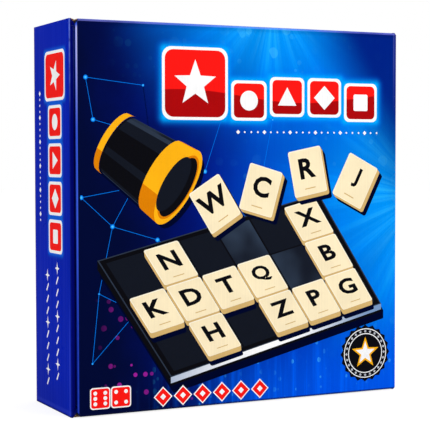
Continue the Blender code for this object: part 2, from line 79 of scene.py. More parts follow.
# Sizes read from the frame
LEFT, FRONT, BASE = cad_low
RIGHT, BACK, HEIGHT = cad_high
LID_LOW, LID_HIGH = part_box("lid")
BOARD = LID_HIGH.y - LID_LOW.y
WALL_LOW, WALL_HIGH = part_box("spine_wall")
RIM_Y = WALL_LOW.y
SPINE_THICKNESS = WALL_HIGH.x - WALL_LOW.x
END_LOW, END_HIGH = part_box("bottom_wall")
END_THICKNESS = END_HIGH.z - END_LOW.z
PANEL_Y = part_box("back_panel")[0].y
JOINTS = {joint["name"]: joint for joint in frame["joints"]}
HINGE = JOINTS["lid_hinge"]["pos_m"]
FOLD = JOINTS["tuck_flap_fold"]["pos_m"]

# Board: its flutes, folds and creases, and the cuts at its corners
SEAT_GAP = 0.0003
FOLD_ROUND = 0.0014
EDGE_ROUND = 0.0012
ROUND_STEPS = 6
SHARP_ANGLE = 40.0
FLUTE_PITCH = 0.0033
FLAP_LEAN = 7.5
CREASE_SKIN = 0.00012
CREASE_TAIL = 0.0016
CREASE_STEPS = 14
CREASE_LEVELS = 24
NOTCH_MIDDLE = 0.0037
NOTCH_WIDTH = 0.0052
NOTCH_DEPTH = 0.0036
NOTCH_REACH = 0.0019
DENT_DEPTH = 0.0010
DENT_REACH = 0.0092
DENT_ASIDE_SHARE = 0.37
DENT_RISE_SHARE = 0.11
CORNER_CUT = 0.0020
CORNER_LENGTH = 0.0030

# Ink lies in layers on the board, each a little above the one before
INK_SINK = 0.00004
INK_LAYER = 0.000006

X_AXIS = Vector((1, 0, 0))
Y_AXIS = Vector((0, 1, 0))
Z_AXIS = Vector((0, 0, 1))


def from_screen(red, green, blue):
    """Linear colour of a colour as a screen shows it, 0 to 255."""
    shares = [value / 255 for value in (red, green, blue)]
    return [s / 12.92 if s <= 0.04045 else ((s + 0.055) / 1.055) ** 2.4 for s in shares] + [1.0]


NAVY = from_screen(3, 10, 50)
RIM_NAVY = from_screen(0, 2, 88)
DEEP_BLUE = from_screen(0, 22, 120)
ROYAL_BLUE = from_screen(0, 32, 181)
SHEEN_BLUE = from_screen(52, 72, 205)
FOLD_BLUE = from_screen(18, 54, 182)
FOLD_BRIGHT = from_screen(52, 90, 222)
FOLD_PALE = from_screen(188, 190, 250)
BRIGHT_BLUE = from_screen(0, 96, 244)
AZURE = from_screen(0, 172, 255)
PALE_AZURE = from_screen(70, 195, 255)
LAVENDER = from_screen(150, 160, 245)
LILAC = from_screen(126, 130, 236)
PERIWINKLE = from_screen(112, 136, 245)
MAGENTA = from_screen(200, 40, 190)
RED = from_screen(255, 26, 20)
DARK_RED = from_screen(172, 10, 10)
WHITE = from_screen(252, 252, 252)
BLACK = from_screen(12, 12, 15)
SLATE = from_screen(30, 38, 52)
STEEL = from_screen(120, 150, 190)
IVORY = from_screen(253, 236, 196)
PALE_IVORY = from_screen(255, 246, 222)
DARK_IVORY = from_screen(214, 178, 112)
AMBER = from_screen(255, 180, 20)
DARK_AMBER = from_screen(222, 128, 2)
KRAFT = from_screen(176, 132, 88)
LIT_KRAFT = from_screen(232, 180, 128)
DARK_KRAFT = from_screen(84, 54, 30)
CARD_WHITE = from_screen(226, 224, 218)
CORNER_SHADE_BLACK = from_screen(4, 3, 6)
EDGE_SHADE_NAVY = from_screen(22, 24, 124)
GLOW_BLUE = from_screen(20, 120, 245)
SATIN_BLACK = from_screen(22, 27, 38)
SATIN_GREY = from_screen(62, 78, 100)
METAL_WHITE = from_screen(222, 228, 236)
PLASTIC_BLACK = from_screen(26, 29, 36)
PLASTIC_GREY = from_screen(40, 46, 56)


# Node helpers
def feed(tree, socket, value):
    """Link a socket, or set its value."""
    if isinstance(value, Signal):
        tree.links.new(value.socket, socket)
    elif isinstance(value, bpy.types.NodeSocket):
        tree.links.new(value, socket)
    else:
        socket.default_value = value


def add(tree, kind, inputs=None, **settings):
    """Add a node with its settings, and feed its inputs by name or place."""
    node = tree.nodes.new(kind)
    for name, value in settings.items():
        setattr(node, name, value)
    for key, value in (inputs or {}).items():
        feed(tree, node.inputs[key], value)
    return node


class Signal:
    """A number that varies over a surface; sums with it become math nodes."""

    def __init__(self, tree, socket):
        self.tree = tree
        self.socket = socket

    def calc(self, operation, *others):
        node = add(self.tree, "ShaderNodeMath", dict(enumerate((self, *others))), operation=operation)
        return Signal(self.tree, node.outputs[0])

    def __add__(self, other):
        return self.calc("ADD", other)

    def __sub__(self, other):
        return self.calc("SUBTRACT", other)

    def __mul__(self, other):
        return self.calc("MULTIPLY", other)

    def __truediv__(self, other):
        return self.calc("DIVIDE", other)

    def __pow__(self, other):
        return self.calc("POWER", other)

    def __neg__(self):
        return self * -1.0

    def __abs__(self):
        return self.calc("ABSOLUTE")

    def inverse(self):
        """One minus the number."""
        return self.calc("MULTIPLY_ADD", -1.0, 1.0)

    def rise(self, start, end):
        """Smooth step: 0 at start, 1 at end."""
        node = add(
            self.tree, "ShaderNodeMapRange", {"Value": self, "From Min": start, "From Max": end},
            interpolation_type="SMOOTHSTEP",
        )
        return Signal(self.tree, node.outputs[0])

    def band(self, start, full, fade, end):
        """Smooth band: 0 before start, 1 from full to fade, 0 after end."""
        return self.rise(start, full) * self.rise(end, fade)


def mixed(tree, factor, first, second, mode="MIX"):
    """Colour between two colours."""
    node = add(tree, "ShaderNodeMix", {0: factor, 6: first, 7: second}, data_type="RGBA", blend_type=mode)
    return node.outputs[2]


def object_place(tree):
    """The point's x, y and z in metres on the piece at rest, as signals, and its vector."""
    vector = add(tree, "ShaderNodeTexCoord").outputs["Object"]
    node = add(tree, "ShaderNodeSeparateXYZ", {0: vector})
    return [Signal(tree, socket) for socket in node.outputs], vector


def vector_of(tree, x, y=0.0, z=0.0):
    """Vector socket from three numbers."""
    return add(tree, "ShaderNodeCombineXYZ", {0: x, 1: y, 2: z}).outputs[0]


def noise(tree, vector, scale, detail=3.0, roughness=0.5):
    """Noise signal, about 0.5 on average."""
    inputs = {"Vector": vector, "Scale": scale, "Detail": detail, "Roughness": roughness}
    return Signal(tree, add(tree, "ShaderNodeTexNoise", inputs).outputs["Fac"])


def dot_product(tree, first, second):
    """Dot product of two vectors."""
    node = add(tree, "ShaderNodeVectorMath", {0: first, 1: second}, operation="DOT_PRODUCT")
    return Signal(tree, node.outputs["Value"])


def stretched(tree, vector, scale, rotation=(0.0, 0.0, 0.0)):
    """The vector turned and scaled, so that a texture on it is drawn out."""
    inputs = {"Vector": vector, "Rotation": rotation, "Scale": scale}
    return add(tree, "ShaderNodeMapping", inputs).outputs[0]


def new_group(name, inputs, outputs):
    """A node group from (name, kind, value) rows of inputs. Returns its tree, inputs and output node."""
    tree = bpy.data.node_groups.new(name, "ShaderNodeTree")
    for label, kind, value in inputs:
        socket = tree.interface.new_socket(name=label, in_out="INPUT", socket_type=f"NodeSocket{kind}")
        if value is not None:
            socket.default_value = value
    for label, kind in outputs:
        tree.interface.new_socket(name=label, in_out="OUTPUT", socket_type=f"NodeSocket{kind}")
    source = add(tree, "NodeGroupInput")
    sink = add(tree, "NodeGroupOutput")
    fields = {}
    for (label, kind, value), socket in zip(inputs, source.outputs):
        fields[label] = Signal(tree, socket) if kind == "Float" else socket
    return tree, fields, sink


def use_group(tree, group, inputs):
    """Place a group in a material and give its outputs by name."""
    node = add(tree, "ShaderNodeGroup", node_tree=group)
    for label, value in inputs.items():
        feed(tree, node.inputs[label], value)
    return {socket.name: Signal(tree, socket) for socket in node.outputs}


# Effects that several materials share
def make_washboard():
    """Faint ridges where the print follows the flutes of the board below, and fine lanes for the ridges'
    painted shade.
    """
    tree, field, sink = new_group(
        "washboard",
        [("Across", "Float", 0.0), ("Pitch", "Float", FLUTE_PITCH), ("Vector", "Vector", None)],
        [("Height", "Float"), ("Streak", "Float")],
    )
    phase = field["Across"] / field["Pitch"] * math.tau
    ridge = phase.calc("SINE")
    uneven = noise(tree, field["Vector"], 14.0, 2.0)
    feed(tree, sink.inputs["Height"], ridge * uneven)
    # Fine lanes across the flutes: the ridges' painted shade, darkened into the print by the materials.
    fine = noise(tree, vector_of(tree, field["Across"] * 900.0), 1.0, 4.0, 0.7)
    feed(tree, sink.inputs["Streak"], fine)
    return tree


def make_fold_wear_and_highlight():
    """Mask of folds and corners, where the surface turns away from the panel, broken up by noise: laminate
    wear and painted highlight, the highlight stronger where the fold faces up.
    """
    tree, field, sink = new_group(
        "fold_wear",
        [("Facing", "Vector", None), ("Amount", "Float", 1.0), ("Scale", "Float", 220.0)],
        [("Mask", "Float")],
    )
    coords = add(tree, "ShaderNodeTexCoord").outputs
    flatness = abs(dot_product(tree, coords["Normal"], field["Facing"]))
    turned = flatness.band(0.40, 0.66, 0.92, 0.999)
    patches = noise(tree, coords["Object"], field["Scale"], 4.0, 0.6).rise(0.10, 0.60)
    # Painted highlight: the mask is stronger on folds that face up, towards the light.
    lit = dot_product(tree, coords["Normal"], Z_AXIS).rise(-0.6, 0.1) * 0.8 + 0.2
    feed(tree, sink.inputs["Mask"], turned * patches * lit * field["Amount"])
    return tree


def make_scuffs():
    """Handling marks: soft smudges and a few fine scratches."""
    tree, field, sink = new_group(
        "scuffs",
        [("Vector", "Vector", None), ("Scale", "Float", 30.0)],
        [("Smudge", "Float"), ("Scratch", "Float")],
    )
    smudge = noise(tree, field["Vector"], field["Scale"], 5.0, 0.6)
    streaks = stretched(tree, field["Vector"], (6.0, 90.0, 40.0), (0.3, 0.9, 0.5))
    scratch = noise(tree, streaks, 22.0, 1.0).rise(0.70, 0.78)
    feed(tree, sink.inputs["Smudge"], smudge)
    feed(tree, sink.inputs["Scratch"], scratch * smudge.rise(0.5, 0.7))
    return tree


def make_fibres():
    """Card and kraft fibres: short dark and pale flecks in a cloudy sheet."""
    tree, field, sink = new_group(
        "fibres",
        [("Vector", "Vector", None), ("Scale", "Float", 900.0)],
        [("Shade", "Float"), ("Fleck", "Float"), ("Height", "Float")],
    )
    flecks = stretched(tree, field["Vector"], (1.0, 1.0, 0.22))
    fibre = noise(tree, flecks, field["Scale"], 4.0, 0.65)
    cloud = noise(tree, field["Vector"], 35.0, 3.0)
    feed(tree, sink.inputs["Shade"], (fibre * 0.6 + cloud * 0.4).rise(0.3, 0.7))
    feed(tree, sink.inputs["Fleck"], noise(tree, flecks, field["Scale"] * 0.7, 2.0).rise(0.66, 0.74))
    feed(tree, sink.inputs["Height"], fibre)
    return tree


def make_cut_flutes():
    """Cut edge of fine-flute board: two liners with the wave of the medium between them; the hollows
    between are painted black as shade by the materials.
    """
    tree, field, sink = new_group(
        "cut_flutes",
        [("Along", "Float", 0.0), ("Through", "Float", 0.0), ("Pitch", "Float", FLUTE_PITCH)],
        [("Hollow", "Float")],
    )
    wave = (field["Along"] / field["Pitch"] * math.tau).calc("SINE") * 0.36 + 0.5
    from_wave = abs(field["Through"] - wave)
    between_liners = field["Through"].band(0.10, 0.16, 0.84, 0.90)
    feed(tree, sink.inputs["Hollow"], from_wave.rise(0.10, 0.17) * between_liners)
    return tree


def make_moulded_grain():
    """Fine texture of moulded plastic and faint flow marks."""
    tree, field, sink = new_group(
        "moulded_grain",
        [("Vector", "Vector", None), ("Scale", "Float", 2600.0)],
        [("Height", "Float"), ("Flow", "Float")],
    )
    cells = add(tree, "ShaderNodeTexVoronoi", {"Vector": field["Vector"], "Scale": field["Scale"]})
    feed(tree, sink.inputs["Height"], Signal(tree, cells.outputs["Distance"]))
    feed(tree, sink.inputs["Flow"], noise(tree, field["Vector"], 24.0, 4.0, 0.6))
    return tree


def make_soft_box():
    """Mask of a rounded box on a printed face, soft outside its edge. All in millimetres."""
    tree, field, sink = new_group(
        "soft_box",
        [(name, "Float", 0.0) for name in ("Across", "Up", "Middle Across", "Middle Up")]
        + [("Half Width", "Float", 10.0), ("Half Height", "Float", 10.0), ("Softness", "Float", 5.0)],
        [("Mask", "Float")],
    )
    gaps = []
    for place, half in (("Across", "Half Width"), ("Up", "Half Height")):
        outside = abs(field[place] - field[f"Middle {place}"]) - field[half]
        gaps.append(outside.calc("MAXIMUM", 0.0) / field["Softness"])
    distance = (gaps[0] * gaps[0] + gaps[1] * gaps[1]) ** 0.5
    feed(tree, sink.inputs["Mask"], distance.rise(1.0, 0.0))
    return tree


def make_light_discs():
    """Scattered soft discs of light of differing size and strength, as out-of-focus lights."""
    tree, field, sink = new_group(
        "light_discs",
        [
            ("Across", "Float", 0.0), ("Up", "Float", 0.0),
            ("Spacing", "Float", 12.0), ("Share", "Float", 0.5),
        ],
        [("Mask", "Float")],
    )
    vector = vector_of(tree, field["Across"] / field["Spacing"], field["Up"] / field["Spacing"])
    cells = add(tree, "ShaderNodeTexVoronoi", {"Vector": vector, "Scale": 1.0}, voronoi_dimensions="2D")
    chances = add(tree, "ShaderNodeSeparateColor", {0: cells.outputs["Color"]}).outputs
    size = Signal(tree, chances[0]) * 0.22 + 0.12
    disc = (Signal(tree, cells.outputs["Distance"]) / size).rise(1.05, 0.85)
    lit = Signal(tree, chances[1]).calc("LESS_THAN", field["Share"])
    feed(tree, sink.inputs["Mask"], disc * lit * (Signal(tree, chances[2]) * 0.7 + 0.3))
    return tree


WASHBOARD = make_washboard()
FOLD_WEAR_AND_HIGHLIGHT = make_fold_wear_and_highlight()
SCUFFS = make_scuffs()
FIBRES = make_fibres()
CUT_FLUTES = make_cut_flutes()
MOULDED_GRAIN = make_moulded_grain()
SOFT_BOX = make_soft_box()
LIGHT_DISCS = make_light_discs()


def new_material(name):
    """Material with a Principled shader. Returns the material, its tree and the shader."""
    material = bpy.data.materials.new(name)
    material.use_nodes = True
    tree = material.node_tree
    return material, tree, tree.nodes["Principled BSDF"]


def bump(tree, shader, height, depth, strength=1.0):
    """Bump from a height signal, in metres of depth."""
    node = add(tree, "ShaderNodeBump", {"Height": height, "Distance": depth, "Strength": strength})
    tree.links.new(node.outputs["Normal"], shader.inputs["Normal"])


# Printed board
PRINT_GLOSS = 0.30
PRINT_SMUDGE = 0.16
PRINT_SPECULAR = 0.002
RIDGE_DEPTH = 0.00004


def laminate(tree, shader, colour, facing, across, wear_and_highlight=1.0, ridge_share=0.25, worn_and_lit_colour=LAVENDER):
    """Gloss laminate over print: washboard ridges with their painted shade, scuffs, and paler folds, partly
    worn and partly painted highlight.
    """
    places, vector = object_place(tree)
    ridges = use_group(tree, WASHBOARD, {"Across": places[across], "Vector": vector})
    scuffs = use_group(tree, SCUFFS, {"Vector": vector})
    fold = use_group(tree, FOLD_WEAR_AND_HIGHLIGHT, {"Facing": facing, "Amount": wear_and_highlight})["Mask"]
    # Painted shade of the washboard ridges, then paler folds: laminate wear and painted highlight.
    ridge_shaded = mixed(tree, ridges["Streak"].rise(0.35, 0.65) * (0.22 * ridge_share), colour, NAVY)
    feed(tree, shader.inputs["Base Color"], mixed(tree, fold * 0.75, ridge_shaded, worn_and_lit_colour))
    smudge = scuffs["Smudge"] * PRINT_SMUDGE
    roughness = smudge + scuffs["Scratch"] * 0.2 + (PRINT_GLOSS - PRINT_SMUDGE / 2)
    feed(tree, shader.inputs["Roughness"], roughness)
    shader.inputs["Specular IOR Level"].default_value = PRINT_SPECULAR
    bump(tree, shader, ridges["Height"] * ridge_share + scuffs["Scratch"] * 0.3, RIDGE_DEPTH)


def shine(tree, colour, u, v, source, heading, reach):
    """Light from a source beyond the print's edge: blue round it, azure rays and a pale core."""
    run_u = u - source[0]
    run_v = v - source[1]
    distance = (run_u * run_u + run_v * run_v) ** 0.5
    turn = math.radians(heading)
    along = run_u * math.cos(turn) + run_v * math.sin(turn)
    aside = run_v * math.cos(turn) - run_u * math.sin(turn)
    angle = aside.calc("ARCTAN2", along)
    fine_rays = noise(tree, vector_of(tree, angle * 9.0, distance * 0.004), 1.0, 4.0, 0.65).rise(0.40, 0.70)
    broad_rays = noise(tree, vector_of(tree, angle * 2.6, 7.0), 1.0, 2.0).rise(0.38, 0.62)
    falloff = distance.rise(reach, 10.0)
    colour = mixed(tree, falloff * (broad_rays * 0.65 + 0.35), colour, BRIGHT_BLUE)
    colour = mixed(tree, falloff ** 1.6 * (fine_rays * broad_rays * 0.35 + 0.65), colour, AZURE)
    core = distance.rise(reach * 0.45, 0.0)
    colour = mixed(tree, core * fine_rays * 0.4, colour, PALE_AZURE)
    return colour, falloff


def light_discs(tree, across, up, spacing, share):
    """Mask of scattered discs of light."""
    inputs = {"Across": across, "Up": up, "Spacing": spacing, "Share": share}
    return use_group(tree, LIGHT_DISCS, inputs)["Mask"]


def soft_box(tree, across, up, middle, half, softness):
    """Mask of a soft box about its middle."""
    inputs = {
        "Across": across, "Up": up, "Middle Across": middle[0], "Middle Up": middle[1],
        "Half Width": half[0], "Half Height": half[1], "Softness": softness,
    }
    return use_group(tree, SOFT_BOX, inputs)["Mask"]


# Lights beyond the lid's edge: place, heading in degrees and reach
SIDE_LIGHT = ((152.0, 146.0), 190.0, 200.0)
TOP_LIGHT = ((24.0, 288.0), -80.0, 138.0)


def paint_sky(tree, u, v):
    """Navy to azure sky of light with rays and soft discs."""
    cloud = noise(tree, vector_of(tree, u, v), 0.012, 5.0, 0.55)
    sweep = (u + v * 0.15 + cloud * 90.0).rise(-50.0, 165.0)
    colour = mixed(tree, sweep, NAVY, ROYAL_BLUE)
    colour, side_light = shine(tree, colour, u, v, *SIDE_LIGHT)
    colour, top_light = shine(tree, colour, u, v, *TOP_LIGHT)
    discs = light_discs(tree, u, v, 13.0, 0.34)
    small_discs = light_discs(tree, u + 50.0, v, 6.0, 0.2)
    below_title = v.rise(215.0, 170.0)
    above_title = v.rise(205.0, 225.0)
    lights = side_light * below_title + top_light * above_title
    lights = (discs * 0.45 + small_discs * 0.35) * lights * cloud.rise(0.38, 0.6)
    return mixed(tree, lights, colour, PALE_AZURE)


def paint_foot(tree, colour, u, v):
    """Columns of light over the lid's foot, with azure dots among them and violet ones beside them."""
    column = noise(tree, vector_of(tree, u * 0.14, v * 0.006), 1.0, 3.0, 0.6).rise(0.45, 0.72)
    foot = v.rise(75.0, 5.0) * u.rise(-95.0, 10.0)
    colour = mixed(tree, column * foot * 0.7, colour, BRIGHT_BLUE)
    haze = v.rise(62.0, 2.0) * u.rise(-55.0, 25.0)
    colour = mixed(tree, haze * (column * 0.4 + 0.6), colour, BRIGHT_BLUE)
    dots = light_discs(tree, u, v * 0.8, 5.2, 0.42)
    colour = mixed(tree, dots * column * foot, colour, PALE_AZURE)
    beside = u.band(-115.0, -85.0, -60.0, -20.0) * v.rise(100.0, 45.0)
    violet_dots = light_discs(tree, u + 9.0, v, 6.4, 0.22)
    return mixed(tree, violet_dots * beside * 0.75, colour, MAGENTA)


def paint_title_ground(tree, colour, u, v):
    """Dark upper right corner, and azure light round the title's blocks."""
    corner = (u + (v - 200.0) * 0.6).rise(76.0, 134.0)
    colour = mixed(tree, corner * 0.95, colour, DEEP_BLUE)
    for across, up, size in TITLE_BLOCKS:
        half = TITLE_GLOW_SHARE * size
        glow = soft_box(tree, u, v, (across, up), (half, half), TITLE_GLOW_SOFTNESS)
        colour = mixed(tree, glow * 0.35, colour, BRIGHT_BLUE)
        colour = mixed(tree, glow ** 3.0, colour, AZURE)
    return colour


def paint_lid_edges(tree, colour, u, v):
    """Lilac line on the top edge, partly laminate wear and partly painted highlight, above a dark band;
    painted shade on the foot and on the upper right edge, and a faint pale broken line beside that edge.
    """
    patches = noise(tree, vector_of(tree, u * 0.05, v * 0.05), 1.0, 3.0).rise(0.25, 0.6) * 0.5 + 0.5
    top_gap = -v + LID_HIGH.z * MM_PER_METRE
    colour = mixed(tree, top_gap.band(1.3, 1.7, 2.0, 5.0) * 0.22, colour, NAVY)
    # Lilac on the top edge: laminate wear and painted highlight where the edge faces up.
    colour = mixed(tree, top_gap.rise(1.5, 1.15) * patches * 0.42, colour, LILAC)
    foot_gap = v - LID_LOW.z * MM_PER_METRE
    # Painted shade on the rounded foot edge.
    colour = mixed(tree, foot_gap.rise(1.8, 0.7) * 0.75, colour, NAVY)
    side_gap = -u + RIGHT * MM_PER_METRE
    # Painted shade on the upper right edge, which faces away from the light.
    strip = side_gap.rise(1.6, 1.2) * v.rise(185.0, 225.0)
    colour = mixed(tree, strip * 0.7, colour, EDGE_SHADE_NAVY)
    line = side_gap.band(1.5, 1.8, 2.5, 2.9) * v.rise(200.0, 245.0)
    return mixed(tree, line * patches * 0.12, colour, LAVENDER)


def paint_lid_fold(tree, colour, x, y, v):
    """Light on the fold at the tuck side: blue at its foot, brighter above and palest in its upper part."""
    light = mixed(tree, v.rise(40.0, 150.0), FOLD_BLUE, FOLD_BRIGHT)
    core = y.rise(FRONT + 0.0010, FRONT + 0.0005) * v.band(185.0, 262.0, 258.4, 261.4)
    light = mixed(tree, core, light, FOLD_PALE)
    return mixed(tree, x.rise(FOLD[0] + 0.0001, FOLD[0] - 0.0003) * 0.9, colour, light)


def make_lid_print():
    """Lid print: a sky of light that darkens to the left, and painted light, painted shade and some wear on
    its fold and edges.
    """
    material, tree, shader = new_material("lid_print")
    (x, y, z), vector = object_place(tree)
    u = x * MM_PER_METRE
    v = z * MM_PER_METRE
    colour = paint_sky(tree, u, v)
    colour = paint_foot(tree, colour, u, v)
    colour = paint_title_ground(tree, colour, u, v)
    colour = paint_lid_edges(tree, colour, u, v)
    colour = paint_lid_fold(tree, colour, x, y, v)
    laminate(tree, shader, colour, -Y_AXIS, 0, 0.08)
    return material


def make_wall_print(name, facing, across, blocks=()):
    """Royal blue print of a wall, lit round its blocks, with painted sheen, painted highlights by the rim
    and on the folds, painted light and shade at the foot, and navy where it rolls over the front rim,
    deepened as painted shade.
    """
    material, tree, shader = new_material(name)
    (x, y, z), vector = object_place(tree)
    tone = noise(tree, vector, 9.0, 3.0)
    colour = mixed(tree, tone.rise(0.3, 0.75) * 0.3, ROYAL_BLUE, DEEP_BLUE)
    # Painted sheen: paler lanes across the wall, where the washboard catches the light.
    sheen_lanes = noise(tree, vector_of(tree, (x, y, z)[across] * 330.0, z * 2.0), 1.0, 4.0, 0.65)
    colour = mixed(tree, sheen_lanes.rise(0.42, 0.75) * 0.2, colour, SHEEN_BLUE)
    for middle_up, size in blocks:
        middle = (SPINE_ACROSS, middle_up)
        half = (0.56 * size, 0.46 * size)
        glow = soft_box(tree, y * -MM_PER_METRE, z * MM_PER_METRE, middle, half, SPINE_GLOW_SOFTNESS)
        colour = mixed(tree, glow ** 2.0 * 0.8, colour, GLOW_BLUE)
    rim_gap = y - RIM_Y
    # Painted highlight: a paler band beside the front fold, low on the wall.
    lower_light = rim_gap.band(0.0012, 0.0022, 0.0030, 0.0046) * z.rise(0.10, 0.03)
    colour = mixed(tree, lower_light * 0.6, colour, SHEEN_BLUE)
    # Painted light and shade on the foot edge: a paler band just above it, and a navy line on the edge
    # itself.
    foot_gap = z - BASE
    colour = mixed(tree, foot_gap.band(0.0013, 0.0022, 0.0030, 0.0050) * 0.35, colour, SHEEN_BLUE)
    colour = mixed(tree, foot_gap.rise(0.0012, 0.0004) * 0.7, colour, NAVY)
    # Navy print on the rolled rim, deepened as painted shade of the recess beside the lid.
    rim = rim_gap.rise(0.75 * FOLD_ROUND, 0.45 * FOLD_ROUND)
    colour = mixed(tree, rim * 0.9, colour, RIM_NAVY)
    # Paler folds: painted highlight strongest near the top, where the light falls, over a little laminate
    # wear everywhere.
    wear_and_highlight = z.rise(0.195, 0.250) * 0.75 + z.rise(0.253, 0.260) * 0.25 + 0.03
    laminate(tree, shader, colour, facing, across, wear_and_highlight, 0.5, PERIWINKLE)
    return material


# Wavy line between two inks: turns in radians a metre, height of the wave and softness of the line
WAVE_TURNS = 34.0
WAVE_HEIGHT = 0.004
WAVE_SOFTNESS = 0.0004


def make_ink(name, colour, facing=-Y_AXIS, across=0, second=None, turn=None):
    """Flat ink under the laminate; with a second colour below a wavy line at the height turn."""
    material, tree, shader = new_material(name)
    (x, y, z), vector = object_place(tree)
    if second is not None:
        wave = (x * WAVE_TURNS).calc("SINE") * WAVE_HEIGHT
        below = (z + wave).rise(turn + WAVE_SOFTNESS, turn - WAVE_SOFTNESS)
        colour = mixed(tree, below, colour, second)
    tone = noise(tree, vector, 60.0, 3.0)
    shade = mixed(tree, tone.rise(0.2, 0.8) * 0.08, colour, BLACK)
    laminate(tree, shader, shade, facing, across, 0.0)
    return material


def make_metal_ink():
    """Printed picture of a bright metal strip, palest in its middle."""
    material, tree, shader = new_material("ink_metal")
    places = object_place(tree)[0]
    middle = (places[0] * MM_PER_METRE).band(-100.0, 20.0, 30.0, 110.0)
    laminate(tree, shader, mixed(tree, middle, STEEL, WHITE), -Y_AXIS, 0, 0.0)
    return material


def make_slope_ink():
    """Printed picture of a satin black slope, lit in patches."""
    material, tree, shader = new_material("ink_slope")
    vector = object_place(tree)[1]
    patches = noise(tree, vector, 26.0, 2.0).rise(0.35, 0.7)
    laminate(tree, shader, mixed(tree, patches * 0.6, SATIN_BLACK, SATIN_GREY), -Y_AXIS, 0, 0.0)
    return material


# Bare board and card
def make_kraft_liner():
    """Plain kraft liner with fibres."""
    material, tree, shader = new_material("kraft_liner")
    places, vector = object_place(tree)
    fibres = use_group(tree, FIBRES, {"Vector": vector})
    shade = mixed(tree, fibres["Shade"] * 0.30, KRAFT, DARK_KRAFT)
    feed(tree, shader.inputs["Base Color"], mixed(tree, fibres["Fleck"] * 0.35, shade, DARK_KRAFT))
    feed(tree, shader.inputs["Roughness"], fibres["Shade"] * 0.1 + 0.78)
    ridges = use_group(tree, WASHBOARD, {"Across": places[0], "Vector": vector})
    bump(tree, shader, fibres["Height"] * 0.4 + ridges["Height"] * 0.8, 0.00005)
    return material


def make_cut_edge(name, along, through, start, dark_start=0.0010):
    """Cut edge of board: hollows round the wave painted black as shade, kraft paler at the rim as painted
    light, and painted shade, black, inside the corners.
    """
    material, tree, shader = new_material(name)
    places, vector = object_place(tree)
    depth = (places[through] - start) / BOARD
    hollow = use_group(tree, CUT_FLUTES, {"Along": places[along], "Through": depth})["Hollow"]
    fibres = use_group(tree, FIBRES, {"Vector": vector})
    shade = mixed(tree, fibres["Shade"] * 0.35, KRAFT, DARK_KRAFT)
    rim_gap = places[1] - RIM_Y
    # Painted light: paler kraft near the front rim, where the light reaches in.
    shade = mixed(tree, rim_gap.rise(0.003, 0.0022) * 0.8, shade, LIT_KRAFT)
    # Painted shade: the open flutes between the liners are black.
    shade = mixed(tree, hollow * 0.92, shade, BLACK)
    # Painted shade, black, inside the wall behind its front rim and round the corner notches.
    end_gap = (-places[2] + HEIGHT).calc("MINIMUM", places[2] - BASE)
    bowl = end_gap + abs(places[0] - (LEFT + NOTCH_MIDDLE)) * 0.35
    past_notch = bowl.rise(0.0015, 0.0018)
    dark = rim_gap.rise(dark_start, dark_start + 0.0008).calc("MAXIMUM", past_notch)
    dark = dark * past_notch * rim_gap.rise(0.012, 0.008)
    feed(tree, shader.inputs["Base Color"], mixed(tree, dark, shade, CORNER_SHADE_BLACK))
    feed(tree, shader.inputs["Roughness"], fibres["Shade"] * 0.1 + 0.82)
    bump(tree, shader, hollow * -1.0 + fibres["Height"] * 0.1, 0.0003)
    return material


def make_board_faces(name, facing, along, through, start, across, fold_y=None):
    """One board panel: blue print where it faces out, kraft inside, and cut flutes on its edges, painted
    black as shade in their hollows; the print has painted shade of its ridges and paler folds, partly wear
    and partly painted highlight.
    """
    material, tree, shader = new_material(name)
    places, vector = object_place(tree)
    outward = dot_product(tree, add(tree, "ShaderNodeTexCoord").outputs["Normal"], facing)
    printed = outward.rise(0.15, 0.30)
    if fold_y is not None:
        printed = printed.calc("MAXIMUM", places[1].rise(fold_y, fold_y - 0.0002))
    edge = abs(outward).rise(0.35, 0.15)
    depth = (places[through] - start) / BOARD
    hollow = use_group(tree, CUT_FLUTES, {"Along": places[along], "Through": depth})["Hollow"]
    fibres = use_group(tree, FIBRES, {"Vector": vector})
    ridges = use_group(tree, WASHBOARD, {"Across": places[across], "Vector": vector})
    scuffs = use_group(tree, SCUFFS, {"Vector": vector})
    fold = use_group(tree, FOLD_WEAR_AND_HIGHLIGHT, {"Facing": facing})["Mask"]
    tone = noise(tree, vector, 9.0, 3.0).rise(0.3, 0.75)
    ink = mixed(tree, tone * 0.35, ROYAL_BLUE, DEEP_BLUE)
    # Painted shade of the washboard ridges, then paler folds: laminate wear and painted highlight.
    ink = mixed(tree, ridges["Streak"].rise(0.35, 0.65) * 0.10, ink, NAVY)
    ink = mixed(tree, fold * 0.8, ink, LAVENDER)
    bare = mixed(tree, fibres["Shade"] * 0.3, KRAFT, DARK_KRAFT)
    # Painted shade: the open flutes on the cut edges are black.
    bare = mixed(tree, hollow * edge * 0.9, bare, BLACK)
    feed(tree, shader.inputs["Base Color"], mixed(tree, printed, bare, ink))
    gloss = scuffs["Smudge"] * PRINT_SMUDGE + (PRINT_GLOSS - PRINT_SMUDGE / 2)
    feed(tree, shader.inputs["Roughness"], printed * gloss + printed.inverse() * 0.82)
    shader.inputs["Specular IOR Level"].default_value = PRINT_SPECULAR
    bump(tree, shader, ridges["Height"] - hollow * edge * 4.0, 0.00005)
    return material


def make_card(name, colour, scale=700.0):
    """Uncoated card or paper."""
    material, tree, shader = new_material(name)
    vector = object_place(tree)[1]
    fibres = use_group(tree, FIBRES, {"Vector": vector, "Scale": scale})
    shade = mixed(tree, fibres["Shade"] * 0.10, colour, KRAFT)
    feed(tree, shader.inputs["Base Color"], mixed(tree, fibres["Fleck"] * 0.10, shade, DARK_KRAFT))
    feed(tree, shader.inputs["Roughness"], fibres["Shade"] * 0.12 + 0.66)
    bump(tree, shader, fibres["Height"], 0.00003)
    return material


